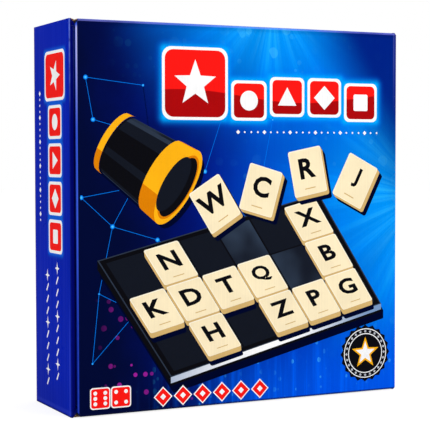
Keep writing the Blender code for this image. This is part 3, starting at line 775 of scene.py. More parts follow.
def make_plastic(name, colour, second, roughness, grain_depth, subsurface=0.0):
    """Moulded plastic: fine grain, faint flow marks and handling scuffs."""
    material, tree, shader = new_material(name)
    vector = object_place(tree)[1]
    grain = use_group(tree, MOULDED_GRAIN, {"Vector": vector})
    scuffs = use_group(tree, SCUFFS, {"Vector": vector, "Scale": 60.0})
    shade = mixed(tree, grain["Flow"].rise(0.35, 0.7) * 0.35, colour, second)
    feed(tree, shader.inputs["Base Color"], mixed(tree, scuffs["Scratch"] * 0.12, shade, WHITE))
    feed(tree, shader.inputs["Roughness"], scuffs["Smudge"] * 0.18 + scuffs["Scratch"] * 0.15 + roughness)
    if subsurface:
        shader.inputs["Subsurface Weight"].default_value = subsurface
        shader.inputs["Subsurface Radius"].default_value = (0.002, 0.0015, 0.0008)
        shader.inputs["Subsurface Scale"].default_value = 1.0
    bump(tree, shader, grain["Height"] + scuffs["Scratch"] * 0.4, grain_depth)
    return material


def make_brushed_metal():
    """Bright strip with fine brushing along its length."""
    material, tree, shader = new_material("brushed_metal")
    brushed = stretched(tree, object_place(tree)[1], (8.0, 900.0, 900.0))
    brushing = noise(tree, brushed, 4.0, 4.0, 0.7)
    feed(tree, shader.inputs["Base Color"], mixed(tree, brushing * 0.4, METAL_WHITE, STEEL))
    feed(tree, shader.inputs["Roughness"], brushing * 0.2 + 0.18)
    shader.inputs["Metallic"].default_value = 1.0
    bump(tree, shader, brushing, 0.00001)
    return material


# Mesh helpers
def new_object(name, data):
    """An object with this data, linked into the scene."""
    item = bpy.data.objects.new(name, data)
    bpy.context.scene.collection.objects.link(item)
    return item


def mesh_from(shape, name):
    """Turn a bmesh into a mesh whose faces look outwards."""
    bmesh.ops.recalc_face_normals(shape, faces=shape.faces)
    mesh = bpy.data.meshes.new(name)
    shape.to_mesh(mesh)
    shape.free()
    return mesh


def add_piece(name, shape, body, materials, smooth=SHARP_ANGLE, replaces=()):
    """Turn a bmesh into a piece that rides on a body."""
    mesh = mesh_from(shape, name)
    for material in materials:
        mesh.materials.append(material)
    piece = new_object(name, mesh)
    mesh.shade_smooth()
    mesh.set_sharp_from_angle(angle=math.radians(smooth))
    if body is not None:
        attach(piece, body)
    if replaces:
        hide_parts(*replaces)
    return piece


def add_loft(shape, rings, slots=None, cap_slots=(0, 0)):
    """Closed solid through rings of points; slots gives the material of each side face round a ring."""
    made = [[shape.verts.new(point) for point in ring] for ring in rings]
    first = shape.faces.new(made[0])
    first.material_index = cap_slots[0]
    last = shape.faces.new(made[-1])
    last.material_index = cap_slots[1]
    for ring, following in zip(made, made[1:]):
        for i, vert in enumerate(ring):
            face = shape.faces.new((ring[i - 1], vert, following[i], following[i - 1]))
            if slots is not None:
                face.material_index = slots[i]


def arc(centre, radius, start, end, steps=ROUND_STEPS):
    """Points along an arc, from one angle to the other in degrees."""
    points = []
    for i in range(steps + 1):
        angle = math.radians(start + (end - start) * i / steps)
        points.append((centre[0] + radius * math.cos(angle), centre[1] + radius * math.sin(angle)))
    return points


def round_levels(radius, step):
    """A quarter round in steps of an angle: how far in from the end, and how far in from the side."""
    turns = [math.radians(angle) for angle in range(0, 91, step)]
    return [(radius * (1 - math.sin(turn)), radius * (1 - math.cos(turn))) for turn in turns]


def rounded_rectangle(width, height, radius, steps=ROUND_STEPS):
    """Outline of a rectangle with round corners, about the origin."""
    side = width / 2 - radius
    rise = height / 2 - radius
    points = []
    for i, (across, up) in enumerate(((side, rise), (-side, rise), (-side, -rise), (side, -rise))):
        points += arc((across, up), radius, 90.0 * i, 90.0 * (i + 1), steps)
    return points


def regular_star(points, outer, inner):
    """Outline of a star about the origin, one point up."""
    outline = []
    for i in range(2 * points):
        radius = outer if i % 2 == 0 else inner
        angle = math.pi / 2 + math.pi * i / points
        outline.append((radius * math.cos(angle), radius * math.sin(angle)))
    return outline


def regular_polygon(sides, radius, start=90.0):
    """Outline of a regular polygon or, with many sides, a disc."""
    return arc((0.0, 0.0), radius, start, start + 360.0 * (sides - 1) / sides, sides - 1)


def wrapped(points):
    """Smallest convex outline round the points."""
    ordered = sorted(set(points))
    outline = []
    for sweep in (ordered, ordered[::-1]):
        start = len(outline)
        for point in sweep:
            while len(outline) > start + 1:
                (ax, ay), (bx, by) = outline[-2:]
                if (bx - ax) * (point[1] - ay) - (by - ay) * (point[0] - ax) > 0:
                    break
                outline.pop()
            outline.append(point)
        outline.pop()
    return outline


class Face:
    """A printed face: a point in millimetres across and up, lifted in metres, becomes a place."""

    def __init__(self, origin, right, up, out):
        self.origin = origin
        self.right = right
        self.up = up
        self.out = out

    def place(self, across, up, lift):
        return self.origin + self.right * (across * MM) + self.up * (up * MM) + self.out * lift


LID_FACE = Face(Vector((0.0, FRONT, 0.0)), X_AXIS, Z_AXIS, -Y_AXIS)
SPINE_FACE = Face(Vector((LEFT, 0.0, 0.0)), -Y_AXIS, Z_AXIS, -X_AXIS)


def stamp(shape, face, outline, layer, slot):
    """Print an outline in millimetres on a face: a thin solid whose top is at this layer."""
    low = [face.place(a, b, -INK_SINK) for a, b in outline]
    high = [face.place(a, b, layer * INK_LAYER) for a, b in outline]
    add_loft(shape, [low, high], [slot] * len(outline), (slot, slot))


def moved(outline, across, up, turn=0.0, size=1.0):
    """The outline scaled, turned in degrees and moved."""
    angle = math.radians(turn)
    cosine, sine = size * math.cos(angle), size * math.sin(angle)
    return [(across + a * cosine - b * sine, up + a * sine + b * cosine) for a, b in outline]


def slanted(outline, origin, across, up):
    """The outline drawn on a slanted plane: across and up are the plane's unit steps on the face."""
    return [
        (origin[0] + a * across[0] + b * up[0], origin[1] + a * across[1] + b * up[1]) for a, b in outline
    ]


LETTER_BOLDNESS = 0.032
LETTER_WELD = 0.0005
LETTER_MESHES = {}


def letter_mesh(character):
    """Bold capital one unit high about the origin, as a closed mesh one unit deep."""
    if character not in LETTER_MESHES:
        curve = bpy.data.curves.new("letter", "FONT")
        curve.body = character
        curve.align_x = "CENTER"
        curve.offset = LETTER_BOLDNESS
        curve.resolution_u = 3
        curve.extrude = 0.5
        item = new_object("letter", curve)
        bpy.context.view_layer.update()
        shape = bmesh.new()
        shape.from_mesh(item.to_mesh())
        bmesh.ops.remove_doubles(shape, verts=shape.verts, dist=LETTER_WELD)
        lows = [min(vert.co[i] for vert in shape.verts) for i in range(3)]
        highs = [max(vert.co[i] for vert in shape.verts) for i in range(3)]
        middle = Vector((lows[i] + highs[i]) / 2 for i in range(3))
        tall = highs[1] - lows[1]
        points = [vert.co - middle for vert in shape.verts]
        points = [Vector((p.x / tall, p.y / tall, p.z)) for p in points]
        faces = [[vert.index for vert in face.verts] for face in shape.faces]
        shape.free()
        item.to_mesh_clear()
        bpy.data.objects.remove(item)
        bpy.data.curves.remove(curve)
        LETTER_MESHES[character] = (points, faces)
    return LETTER_MESHES[character]


def stamp_letter(shape, character, place, slot):
    """Add a letter whose points, in unit height and depth, are put by place(x, y, z)."""
    points, faces = letter_mesh(character)
    verts = [shape.verts.new(place(p.x, p.y, p.z)) for p in points]
    for face in faces:
        shape.faces.new([verts[i] for i in face]).material_index = slot


# Title in the lid's upper part: one large red block and four smaller ones, each with a plain symbol
TITLE_LARGE = 50.0
TITLE_SMALL = 28.0
TITLE_START = -62.0
TITLE_FOOT = 199.0
TITLE_GAP = 2.6
TITLE_ARCH_SHARE = 0.16
TITLE_GLOW_SHARE = 0.46
TITLE_GLOW_SOFTNESS = 9.0
OUTLINE_WIDTH = 2.0


def title_blocks():
    """Middle and size of each block of the title; the inner two of the small ones stand higher."""
    blocks = [(TITLE_START + TITLE_LARGE / 2, TITLE_FOOT + TITLE_LARGE / 2, TITLE_LARGE)]
    start = TITLE_LARGE + TITLE_GAP
    for i in range(4):
        across = start + TITLE_SMALL / 2
        up = TITLE_SMALL / 2 + TITLE_SMALL * TITLE_ARCH_SHARE * (1 - abs(i - 1.5) / 1.5)
        blocks.append((TITLE_START + across, TITLE_FOOT + up, TITLE_SMALL))
        start += TITLE_SMALL + TITLE_GAP
    return blocks


TITLE_BLOCKS = title_blocks()

# Column of red blocks on the spine: middle height and size of each
SPINE_ACROSS = 6.0
SPINE_TOP = 246.0
SPINE_GAP = 3.0
SPINE_TALL_SHARE = 1.22
SPINE_GLOW_SOFTNESS = 6.0
SPINE_BLOCKS = []
for size in (34.0, 23.0, 23.0, 23.0, 23.0):
    above = sum(block[1] + SPINE_GAP for block in SPINE_BLOCKS)
    SPINE_BLOCKS.append((SPINE_TOP - above - size / 2, size))

SYMBOLS = (
    regular_star(5, 0.36, 0.15),
    regular_polygon(32, 0.29),
    moved(regular_polygon(3, 0.36), 0.0, -0.07),
    regular_polygon(4, 0.36),
    rounded_rectangle(0.5, 0.5, 0.05),
)


# Finishes of the carton and its print
LID_PRINT = make_lid_print()
SPINE_PRINT = make_wall_print("spine_print", X_AXIS, 1, SPINE_BLOCKS)
END_PRINT = make_wall_print("end_print", Z_AXIS, 0)
KRAFT_LINER = make_kraft_liner()
SPINE_CUT = make_cut_edge("spine_cut_edge", 1, 0, LEFT)
TOP_CUT = make_cut_edge("top_cut_edge", 0, 2, HEIGHT - BOARD)
BOTTOM_CUT = make_cut_edge("bottom_cut_edge", 0, 2, BASE)
LID_CUT = make_cut_edge("lid_cut_edge", 0, 1, FRONT)
BLACK_PLASTIC = make_plastic("black_plastic", PLASTIC_BLACK, PLASTIC_GREY, 0.26, 0.00002)
AMBER_PLASTIC = make_plastic("amber_plastic", AMBER, DARK_AMBER, 0.24, 0.00001, 0.15)
IVORY_PLASTIC = make_plastic("ivory_plastic", IVORY, PALE_IVORY, 0.20, 0.000004, 0.25)
METAL_STRIP = make_brushed_metal()
WHITE_CARD = make_card("white_card", CARD_WHITE)
LEAFLET_PAPER = make_card("leaflet_paper", WHITE, 1400.0)
LETTER_BLACK = make_plastic("letter_black", BLACK, SLATE, 0.35, 0.000002)


# Carton: walls rolled over at the front rim
WALL_END_Y = PANEL_Y - SEAT_GAP
TAB_SHARES = (0.25, 0.75)
TAB_WIDTH = 0.028
TAB_SINK = 0.0002


def rolled_section(thickness):
    """Outline of a rolled wall as (y, inward) points, with the material slot of each side."""
    radius = min(FOLD_ROUND, (thickness - SEAT_GAP) / 2)
    outer = [(WALL_END_Y, 0.0)]
    outer += arc((RIM_Y + radius, radius), radius, 270.0, 180.0)
    outer += arc((RIM_Y + radius, thickness - radius), radius, 180.0, 90.0)
    outer.append((WALL_END_Y, thickness))
    deep = thickness - BOARD
    inner = [(WALL_END_Y, deep), (RIM_Y + BOARD, deep), (RIM_Y + BOARD, BOARD), (WALL_END_Y, BOARD)]
    return outer + inner, [2] + [0] * (len(outer) - 1) + [2, 1, 1, 1]


def outer_ply_section():
    """Outline of a rolled wall's outer ply alone, with its front fold."""
    outer = [(WALL_END_Y, 0.0)] + arc((RIM_Y + FOLD_ROUND, FOLD_ROUND), FOLD_ROUND, 270.0, 180.0)
    outer += [(RIM_Y, BOARD), (WALL_END_Y, BOARD)]
    return outer, [2] + [0] * (len(outer) - 3) + [0, 1]


def extrude(shape, section, slots, low, high, place):
    """Extrude a section from low to high; place turns (a, b, along) into a point."""
    rings = [[place(a, b, along) for a, b in section] for along in (low, high)]
    add_loft(shape, rings, slots, (2, 2))


def add_lock_tabs(shape, start, length, thickness, place):
    """Tabs of a wall's inner ply that pass through the back panel."""
    deep = thickness - BOARD
    end = BACK - TAB_SINK
    section = [(WALL_END_Y, deep), (end, deep), (end, thickness), (WALL_END_Y, thickness)]
    for share in TAB_SHARES:
        middle = start + length * share
        extrude(shape, section, [2, 1, 2, 0], middle - TAB_WIDTH / 2, middle + TAB_WIDTH / 2, place)


# Cuts at the ends of the spine's front rim, where two rolled walls meet: height and way into the wall,
# depth and reach, and how far each leans aside and rises as it runs back
RIM_CUTS = (
    (HEIGHT, -1.0, NOTCH_DEPTH, NOTCH_REACH, 0.0, 0.0),
    (HEIGHT, -1.0, DENT_DEPTH, DENT_REACH, DENT_ASIDE_SHARE, DENT_RISE_SHARE),
    (BASE, 1.0, NOTCH_DEPTH, NOTCH_REACH, 0.0, 0.0),
)


def cut_corner_notches(piece):
    """V-shaped notches at both ends of the spine's front rim, and a dent behind the top one."""
    shape = bmesh.new()
    for end, way, depth, reach, aside, rise in RIM_CUTS:
        over = depth / 2
        half = NOTCH_WIDTH * (depth + over) / depth / 2
        rings = []
        for run in (-NOTCH_REACH, reach):
            middle = LEFT + NOTCH_MIDDLE + run * aside
            level = end - way * run * rise
            section = [(middle - half, level - way * over), (middle + half, level - way * over)]
            section.append((middle, level + way * depth))
            rings.append([Vector((x, RIM_Y + run, z)) for x, z in section])
        add_loft(shape, rings, [2] * 3, (2, 2))
    cutter = new_object("notch_cutter", mesh_from(shape, "notch_cutter"))
    boolean = piece.modifiers.new("notches", "BOOLEAN")
    boolean.operation = "DIFFERENCE"
    boolean.solver = "EXACT"
    boolean.use_self = True
    boolean.object = cutter
    bake_modifiers(piece)
    bpy.data.objects.remove(cutter)


def bake_modifiers(piece):
    """Keep the piece's modified mesh as its own."""
    bpy.context.view_layer.update()
    graph = bpy.context.evaluated_depsgraph_get()
    mesh = bpy.data.meshes.new_from_object(piece.evaluated_get(graph))
    piece.modifiers.clear()
    piece.data = mesh
    mesh.set_sharp_from_angle(angle=math.radians(SHARP_ANGLE))


def add_wall(node, shape, front_print, cut_material):
    """A rolled wall as a piece with its notches, in place of its node."""
    wall = add_piece(f"{node}_board", shape, None, [front_print, KRAFT_LINER, cut_material])
    cut_corner_notches(wall)
    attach(wall, "carton")
    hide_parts(node)


def build_spine_wall():
    """Wall at the tuck side, which shows in front beside the lid."""
    def place(y, inward, along):
        return Vector((LEFT + inward, y, along))

    shape = bmesh.new()
    reach = END_THICKNESS + SEAT_GAP
    extrude(shape, *rolled_section(SPINE_THICKNESS), reach, HEIGHT - reach, place)
    extrude(shape, *outer_ply_section(), BASE, reach, place)
    extrude(shape, *outer_ply_section(), HEIGHT - reach, HEIGHT, place)
    add_lock_tabs(shape, BASE, HEIGHT, SPINE_THICKNESS, place)
    add_wall("spine_wall", shape, SPINE_PRINT, SPINE_CUT)


def build_end_wall(node, place, cut_material):
    """Top or bottom wall, rolled over the corner ears."""
    start = LEFT + BOARD + SEAT_GAP
    end = RIGHT - BOARD - SEAT_GAP
    shape = bmesh.new()
    extrude(shape, *rolled_section(END_THICKNESS), start, end, place)
    add_lock_tabs(shape, start, end - start, END_THICKNESS, place)
    add_wall(node, shape, END_PRINT, cut_material)


# Lid: one ply, round at both folds and along its top and bottom edges
def lid_ring(height, inset, cut):
    """Outline of the lid at one height, drawn in by the inset and cut at the tuck side."""
    middle_y = FRONT + BOARD / 2
    outline = arc((HINGE[0], middle_y), BOARD / 2, -90.0, 90.0, 2 * ROUND_STEPS)
    outline += arc((FOLD[0] + cut, middle_y), BOARD / 2, 90.0, 270.0, 2 * ROUND_STEPS)
    centre_x = (HINGE[0] + FOLD[0]) / 2
    half = (HINGE[0] - FOLD[0] + BOARD) / 2
    back = FRONT + BOARD
    ring = []
    for x, y in outline:
        across = centre_x + (x - centre_x) * (half - inset) / half
        ring.append(Vector((across, back - (back - y) * (BOARD - inset) / BOARD, height)))
    return ring


def build_lid():
    """Printed lid panel."""
    levels = [(CORNER_LENGTH, 0.0, 0.0)]
    for gap, inset in round_levels(EDGE_ROUND, 15):
        levels.append((gap, inset, CORNER_CUT * (1 - gap / CORNER_LENGTH)))
    rings = [lid_ring(LID_LOW.z + gap, inset, cut) for gap, inset, cut in levels[::-1]]
    rings += [lid_ring(LID_HIGH.z - gap, inset, cut) for gap, inset, cut in levels]
    slots = [0] * len(rings[0])
    slots[2 * ROUND_STEPS + 1] = 1
    shape = bmesh.new()
    add_loft(shape, rings, slots, (2, 2))
    add_piece("lid_panel", shape, "lid", [LID_PRINT, KRAFT_LINER, LID_CUT], 35.0, ["lid"])


def build_crease(name, axis, angles, margin, tail_ways):
    """Skin of the printed liner round a fold, from one body to the other."""
    low = LID_LOW.z + margin
    high = LID_HIGH.z - margin
    inner = BOARD / 2 + CREASE_SKIN / 6
    ends = []
    for angle, way in zip(angles, tail_ways):
        turn = math.radians(angle)
        ends.append((Vector((math.cos(turn), math.sin(turn), 0.0)), Vector((*way, 0.0)).normalized()))
    axis_point = Vector((axis[0], axis[1], 0.0))

    def skin(radius):
        points = arc((0.0, 0.0), radius, *angles, CREASE_STEPS)
        return [axis_point + Vector((*point, 0.0)) for point in points]

    tails = [axis_point + out * (inner + CREASE_SKIN / 6) + way * CREASE_TAIL for out, way in ends]
    feet = [axis_point + out * inner + way * CREASE_TAIL for out, way in ends]
    outline = [feet[0], tails[0], *skin(inner + CREASE_SKIN), tails[1], feet[1], *skin(inner)[::-1]]
    rings = []
    for i in range(CREASE_LEVELS + 1):
        height = Vector((0.0, 0.0, low + (high - low) * i / CREASE_LEVELS))
        rings.append([point + height for point in outline])
    shape = bmesh.new()
    add_loft(shape, rings)
    piece = add_piece(name, shape, None, [LID_PRINT])
    middle = Vector((0.0, 0.0, (low + high) / 2))
    first, last = (axis_point + out * inner + middle for out, way in ends)
    tuple(first)
    tuple(last)
    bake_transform(piece)


def build_creases():
    """Folds at the lid's hinge and at its tuck flap."""
    build_crease(
        "lid_hinge_crease", HINGE, (0.0, -90.0), EDGE_ROUND,
        ((0.0, 1.0), (-1.0, 0.0)),
    )
    lean = math.radians(FLAP_LEAN)
    build_crease(
        "tuck_fold_crease", FOLD, (-90.0, -180.0 - FLAP_LEAN), CORNER_LENGTH,
        ((1.0, 0.0), (math.sin(lean), math.cos(lean))),
    )


HINGE_WALL_WRAP = 0.0012
BEVEL_ANGLE = 35.0


def dress(node, material, bevel):
    """Give a CAD node its finish and slightly rounded edges."""
    item = frame["nodes"][node]
    item.data.materials.clear()
    item.data.materials.append(material)
    rounding = item.modifiers.new("edges", "BEVEL")
    rounding.width = bevel
    rounding.segments = 2
    rounding.limit_method = "ANGLE"
    rounding.angle_limit = math.radians(BEVEL_ANGLE)
    rounding.harden_normals = False


def dress_carton():
    """Finishes of the carton's plain panels, flaps and ears."""
    fold_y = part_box("hinge_wall")[0].y + HINGE_WALL_WRAP
    lean = math.radians(FLAP_LEAN)
    out_of_flap = Vector((-math.cos(lean), math.sin(lean), 0.0))
    hinge_board = make_board_faces("hinge_wall_board", X_AXIS, 1, 0, RIGHT - BOARD, 1, fold_y)
    dress("hinge_wall", hinge_board, 0.0004)
    dress("back_panel", make_board_faces("back_panel_board", Y_AXIS, 0, 1, PANEL_Y, 0), 0.0003)
    dress("tuck_flap", make_board_faces("tuck_flap_board", out_of_flap, 1, 0, FOLD[0], 1), 0.0003)
    for level in ("bottom", "top"):
        for side in ("spine", "hinge"):
            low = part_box(f"corner_ear_{side}_{level}")[0].z
            # Corner ears: their cut edges are painted black as shade from the front rim inwards.
            board = make_cut_edge(f"corner_ear_{side}_{level}_board", 1, 2, low, 0.0)
            dress(f"corner_ear_{side}_{level}", board, 0.0002)
        dress(f"tuck_ear_{level}", KRAFT_LINER, 0.0004)


# Card insert, leaflet and racks
def dress_contents():
    """Finishes of the card insert, the leaflet and the tile racks."""
    for node in ("insert_floor", "lower_step", "upper_step", "case_shelf", "tile_channel"):
        dress(node, WHITE_CARD, 0.00025)
    dress("rules_leaflet", LEAFLET_PAPER, 0.0002)
    rack_parts = (
        ("shell", BLACK_PLASTIC, 0.0004), ("tiers", BLACK_PLASTIC, 0.0003), ("strip", METAL_STRIP, 0.0002),
        ("tiles_front", IVORY_PLASTIC, 0.0003), ("tiles_rear", IVORY_PLASTIC, 0.0003),
    )
    for level in ("lower", "upper"):
        for side in ("back", "front"):
            for part, material, bevel in rack_parts:
                dress(f"{level}_{side}_rack_{part}", material, bevel)


CAP_WALL = 0.002
CAP_EDGE = 0.0012
CAP_PANEL_INSET = 0.005
CAP_PANEL_SINK = 0.0006
CAP_CORNER = 0.0263
CAP_STEPS = 10


def build_cap(node, way):
    """End cap: a rounded shell with a sunk panel on its end, open towards the case."""
    low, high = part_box(node)
    middle = (low + high) / 2
    width = high.y - low.y
    height = high.z - low.z
    end, mouth = (low.x, high.x) if way < 0 else (high.x, low.x)

    def ring(inset, x):
        radius = max(CAP_CORNER - inset, CAP_EDGE)
        outline = rounded_rectangle(width - 2 * inset, height - 2 * inset, radius, CAP_STEPS)
        return [Vector((x, middle.y + a, middle.z + b)) for a, b in outline]

    rings = [ring(CAP_PANEL_INSET + CAP_PANEL_SINK, end - way * CAP_PANEL_SINK)]
    rings.append(ring(CAP_PANEL_INSET, end))
    rings += [ring(inset, end - way * depth) for inset, depth in round_levels(CAP_EDGE, 18)]
    lip = CAP_WALL / 4
    rings += [ring(0.0, mouth + way * lip), ring(lip, mouth), ring(CAP_WALL - lip, mouth)]
    rings += [ring(CAP_WALL, mouth + way * lip), ring(CAP_WALL, end - way * CAP_WALL)]
    shape = bmesh.new()
    add_loft(shape, rings)
    add_piece(f"{node}_shell", shape, node, [AMBER_PLASTIC], 35.0, [node])


TILE_CORNER = 0.0014
TILE_ROUND = 0.0007
TILE_STEPS = 3


def tile_levels(thickness):
    """Depths through a tile and how far each ring is drawn in."""
    edge = round_levels(TILE_ROUND, 30)
    front = [(-thickness / 2 + gap, inset) for gap, inset in edge[::-1]]
    return front + [(thickness / 2 - gap, inset) for gap, inset in edge]


def add_tile(shape, middle, width, length, thickness, turn):
    """One tile facing the lid, with round corners and edges; middle is its centre."""
    cosine, sine = math.cos(turn), math.sin(turn)
    rings = []
    for depth, inset in tile_levels(thickness):
        corner = TILE_CORNER - inset / 2
        outline = rounded_rectangle(width - 2 * inset, length - 2 * inset, corner, TILE_STEPS)
        rings.append([
            Vector((middle.x + a * cosine - b * sine, middle.y + depth, middle.z + a * sine + b * cosine))
            for a, b in outline
        ])
    add_loft(shape, rings)


TILES_PER_STACK = 10
STACK_LETTERS = "KTHXB"
STACK_PLAY = 0.0003
STACK_SHIFT = 0.0002
STACK_TURN = 0.004
TILE_SHRINK = 0.00008
LETTER_WIDTH = 0.013
LETTER_HEIGHT = 0.015
LETTER_DEPTH = 0.0001
LETTER_LIFT = 0.002


def build_tile_stacks():
    """Spare tiles as separate pieces of ivory plastic, each stack a little uneven."""
    dice = random.Random(5)
    for number, letter in enumerate(STACK_LETTERS, start=1):
        node = f"tile_stack_{number}"
        low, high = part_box(node)
        middle = (low + high) / 2
        pitch = (high.y - low.y) / TILES_PER_STACK
        width, length = high.x - low.x - STACK_PLAY, high.z - low.z - STACK_PLAY
        shape = bmesh.new()
        for i in range(TILES_PER_STACK):
            shift = dice.uniform(-STACK_SHIFT, STACK_SHIFT)
            centre = Vector((middle.x + shift, low.y + pitch * (i + 0.5), middle.z))
            turn = dice.uniform(-STACK_TURN, STACK_TURN)
            add_tile(shape, centre, width, length, pitch - TILE_SHRINK, turn)
        add_piece(f"{node}_tiles", shape, "carton", [IVORY_PLASTIC], 50.0, [node])
        face = Vector((middle.x, low.y + TILE_SHRINK / 2, middle.z + LETTER_LIFT))

        def place(x, y, z):
            return face + Vector((x * LETTER_WIDTH, z * LETTER_DEPTH, y * LETTER_HEIGHT))

        shape = bmesh.new()
        stamp_letter(shape, letter, place, 0)
        add_piece(f"{node}_letter", shape, "carton", [LETTER_BLACK], 35.0)


# Inks of the printed pictures
RED_INK = make_ink("ink_red", RED, second=DARK_RED, turn=0.216)
PLAIN_RED_INK = make_ink("ink_plain_red", RED)
WHITE_INK = make_ink("ink_white", WHITE)
BLACK_INK = make_ink("ink_black", BLACK)
DARK_INK = make_ink("ink_dark", from_screen(20, 24, 33))
SLATE_INK = make_ink("ink_slate", from_screen(44, 54, 70))
SLOPE_INK = make_slope_ink()
METAL_INK = make_metal_ink()
IVORY_INK = make_ink("ink_ivory", IVORY)
PALE_IVORY_INK = make_ink("ink_pale_ivory", PALE_IVORY)
DARK_IVORY_INK = make_ink("ink_dark_ivory", DARK_IVORY)
AMBER_INK = make_ink("ink_amber", AMBER)
DARK_AMBER_INK = make_ink("ink_dark_amber", DARK_AMBER)
AZURE_INK = make_ink("ink_azure", from_screen(0, 120, 240))
PALE_AZURE_INK = make_ink("ink_pale_azure", PALE_AZURE)
SHADE_INK = make_ink("ink_shade", from_screen(0, 6, 40))
GREY_INK = make_ink("ink_grey", from_screen(188, 192, 200))
SPINE_RED_INK = make_ink("spine_ink_red", RED, X_AXIS, 1)
SPINE_WHITE_INK = make_ink("spine_ink_white", WHITE, X_AXIS, 1)


# Layer of the topmost prints, and the round corners of a red block
TOP_LAYER = 40
BLOCK_CORNER_SHARE = 0.14


def add_print(name, shape, inks, body="lid"):
    """A printed picture as a piece on its body."""
    return add_piece(name, shape, body, inks, 30.0)


def stamp_block(shape, face, middle, size, symbol, layer, turn=0.0, tall=1.0):
    """Red block with a white outline and a white symbol; slots are white 0 and red 1."""
    for extra, slot in ((2 * OUTLINE_WIDTH, 0), (0.0, 1)):
        side = size + extra
        outline = rounded_rectangle(side, size * tall + extra, side * BLOCK_CORNER_SHARE)
        stamp(shape, face, moved(outline, *middle, turn), layer, slot)
        layer += 1
    stamp(shape, face, moved(symbol, *middle, turn, size), layer, 0)


# Dotted line under the title
DOTS = 23
DOT_START = -4.0
DOT_PITCH = 5.2
DOT_UP = 191.0
DOT_SIZES = (1.5, 0.8, 0.8, 0.8)


def print_title():
    """Row of red blocks in the lid's upper part."""
    shape = bmesh.new()
    for (across, up, size), symbol in zip(TITLE_BLOCKS, SYMBOLS):
        stamp_block(shape, LID_FACE, (across, up), size - 2 * OUTLINE_WIDTH, symbol, TOP_LAYER)
    for i in range(DOTS):
        dot = regular_polygon(4, DOT_SIZES[i % len(DOT_SIZES)])
        stamp(shape, LID_FACE, moved(dot, DOT_START + i * DOT_PITCH, DOT_UP), TOP_LAYER, 0)
    add_print("printed_title", shape, [WHITE_INK, RED_INK])


# Net of lines of light: its points stand in rows and columns and are scattered about their places
NET_ROWS = 6
NET_COLUMNS = 4
NET_START = (-112.0, 34.0)
NET_PITCH = (42.0, 40.0)
NET_SCATTER = 14.0
NET_RIGHT = 40.0
NET_GAP_SHARE = 0.25
NET_LINE = 0.34
NET_DOTS = (0.7, 0.9, 1.6)


def print_network():
    """Thin lines of light between scattered points on the lid's dark side."""
    dice = random.Random(11)
    shape = bmesh.new()
    points = []
    for row in range(NET_ROWS):
        for column in range(NET_COLUMNS):
            across = NET_START[0] + column * NET_PITCH[0] + dice.uniform(-NET_SCATTER, NET_SCATTER)
            up = NET_START[1] + row * NET_PITCH[1] + dice.uniform(-NET_SCATTER, NET_SCATTER)
            points.append((min(across, NET_RIGHT), up))
    for i, start in enumerate(points):
        near = sorted(points, key=lambda point: math.dist(point, start))[1:3]
        for end in near:
            if dice.random() < NET_GAP_SHARE:
                continue
            along = Vector(end) - Vector(start)
            side = Vector((-along.y, along.x)).normalized() * NET_LINE / 2
            corners = [Vector(start) + side, Vector(start) - side, Vector(end) - side, Vector(end) + side]
            stamp(shape, LID_FACE, [tuple(corner) for corner in corners], 1 + i % 4, 0)
        size = dice.choice(NET_DOTS)
        stamp(shape, LID_FACE, moved(regular_polygon(16, size), *start), 6, 0)
        stamp(shape, LID_FACE, moved(regular_polygon(16, size * 0.55), *start), 7, 1)
    add_print("printed_network", shape, [AZURE_INK, PALE_AZURE_INK])


# Pictured tiles: a face on a slanted plane, with its thickness below
PICTURE_TILE_WIDTH = 27.0
PICTURE_TILE_LENGTH = 37.0
TILE_SPACE = 1.8
PICTURE_TILE_CORNER = 1.6
PICTURE_TILE_RIM = 1.3
PICTURE_TILE_SHIFT = (0.2, -0.25)
PICTURE_SHADE_SHARE = 1.6
PICTURE_SHADE = 1.2
PICTURE_LETTER = (15.5, 16.5)
PICTURE_LETTER_LIFT = 3.0
PICTURE_DASH = (9.0, 0.8, 0.3)
PICTURE_DASH_UP = 5.2


def stamp_tile(shape, origin, across, up, drop, letter, layer):
    """Picture of a tile; slots are ivory 0, pale 1, dark 2, black 3 and shade 4."""
    width, length, rim = PICTURE_TILE_WIDTH, PICTURE_TILE_LENGTH, PICTURE_TILE_RIM
    middle = (width / 2, length / 2)
    face = moved(rounded_rectangle(width, length, PICTURE_TILE_CORNER, TILE_STEPS), *middle)
    inner = moved(rounded_rectangle(width - rim, length - rim, rim, TILE_STEPS), *middle)
    top = slanted(face, origin, across, up)
    side = moved(top, *drop)
    shade_across = PICTURE_SHADE_SHARE * drop[0] + PICTURE_SHADE
    shade_up = PICTURE_SHADE_SHARE * drop[1] - PICTURE_SHADE
    shifted = (origin[0] + PICTURE_TILE_SHIFT[0], origin[1] + PICTURE_TILE_SHIFT[1])
    stamp(shape, LID_FACE, wrapped(moved(top, shade_across, shade_up) + top), layer, 4)
    stamp(shape, LID_FACE, wrapped(top + side), layer + 1, 2)
    stamp(shape, LID_FACE, top, layer + 2, 1)
    stamp(shape, LID_FACE, slanted(inner, shifted, across, up), layer + 3, 0)

    def place(x, y, z):
        a = middle[0] + x * PICTURE_LETTER[0]
        b = middle[1] + PICTURE_LETTER_LIFT + y * PICTURE_LETTER[1]
        point = slanted([(a, b)], origin, across, up)[0]
        return LID_FACE.place(*point, (layer + 4) * INK_LAYER * (z + 0.5) - INK_SINK * (0.5 - z))

    stamp_letter(shape, letter, place, 3)
    dash = moved(rounded_rectangle(*PICTURE_DASH, 1), middle[0], PICTURE_DASH_UP)
    stamp(shape, LID_FACE, slanted(dash, origin, across, up), layer + 4, 2)


TILE_INKS = [IVORY_INK, PALE_IVORY_INK, DARK_IVORY_INK, BLACK_INK, SHADE_INK]

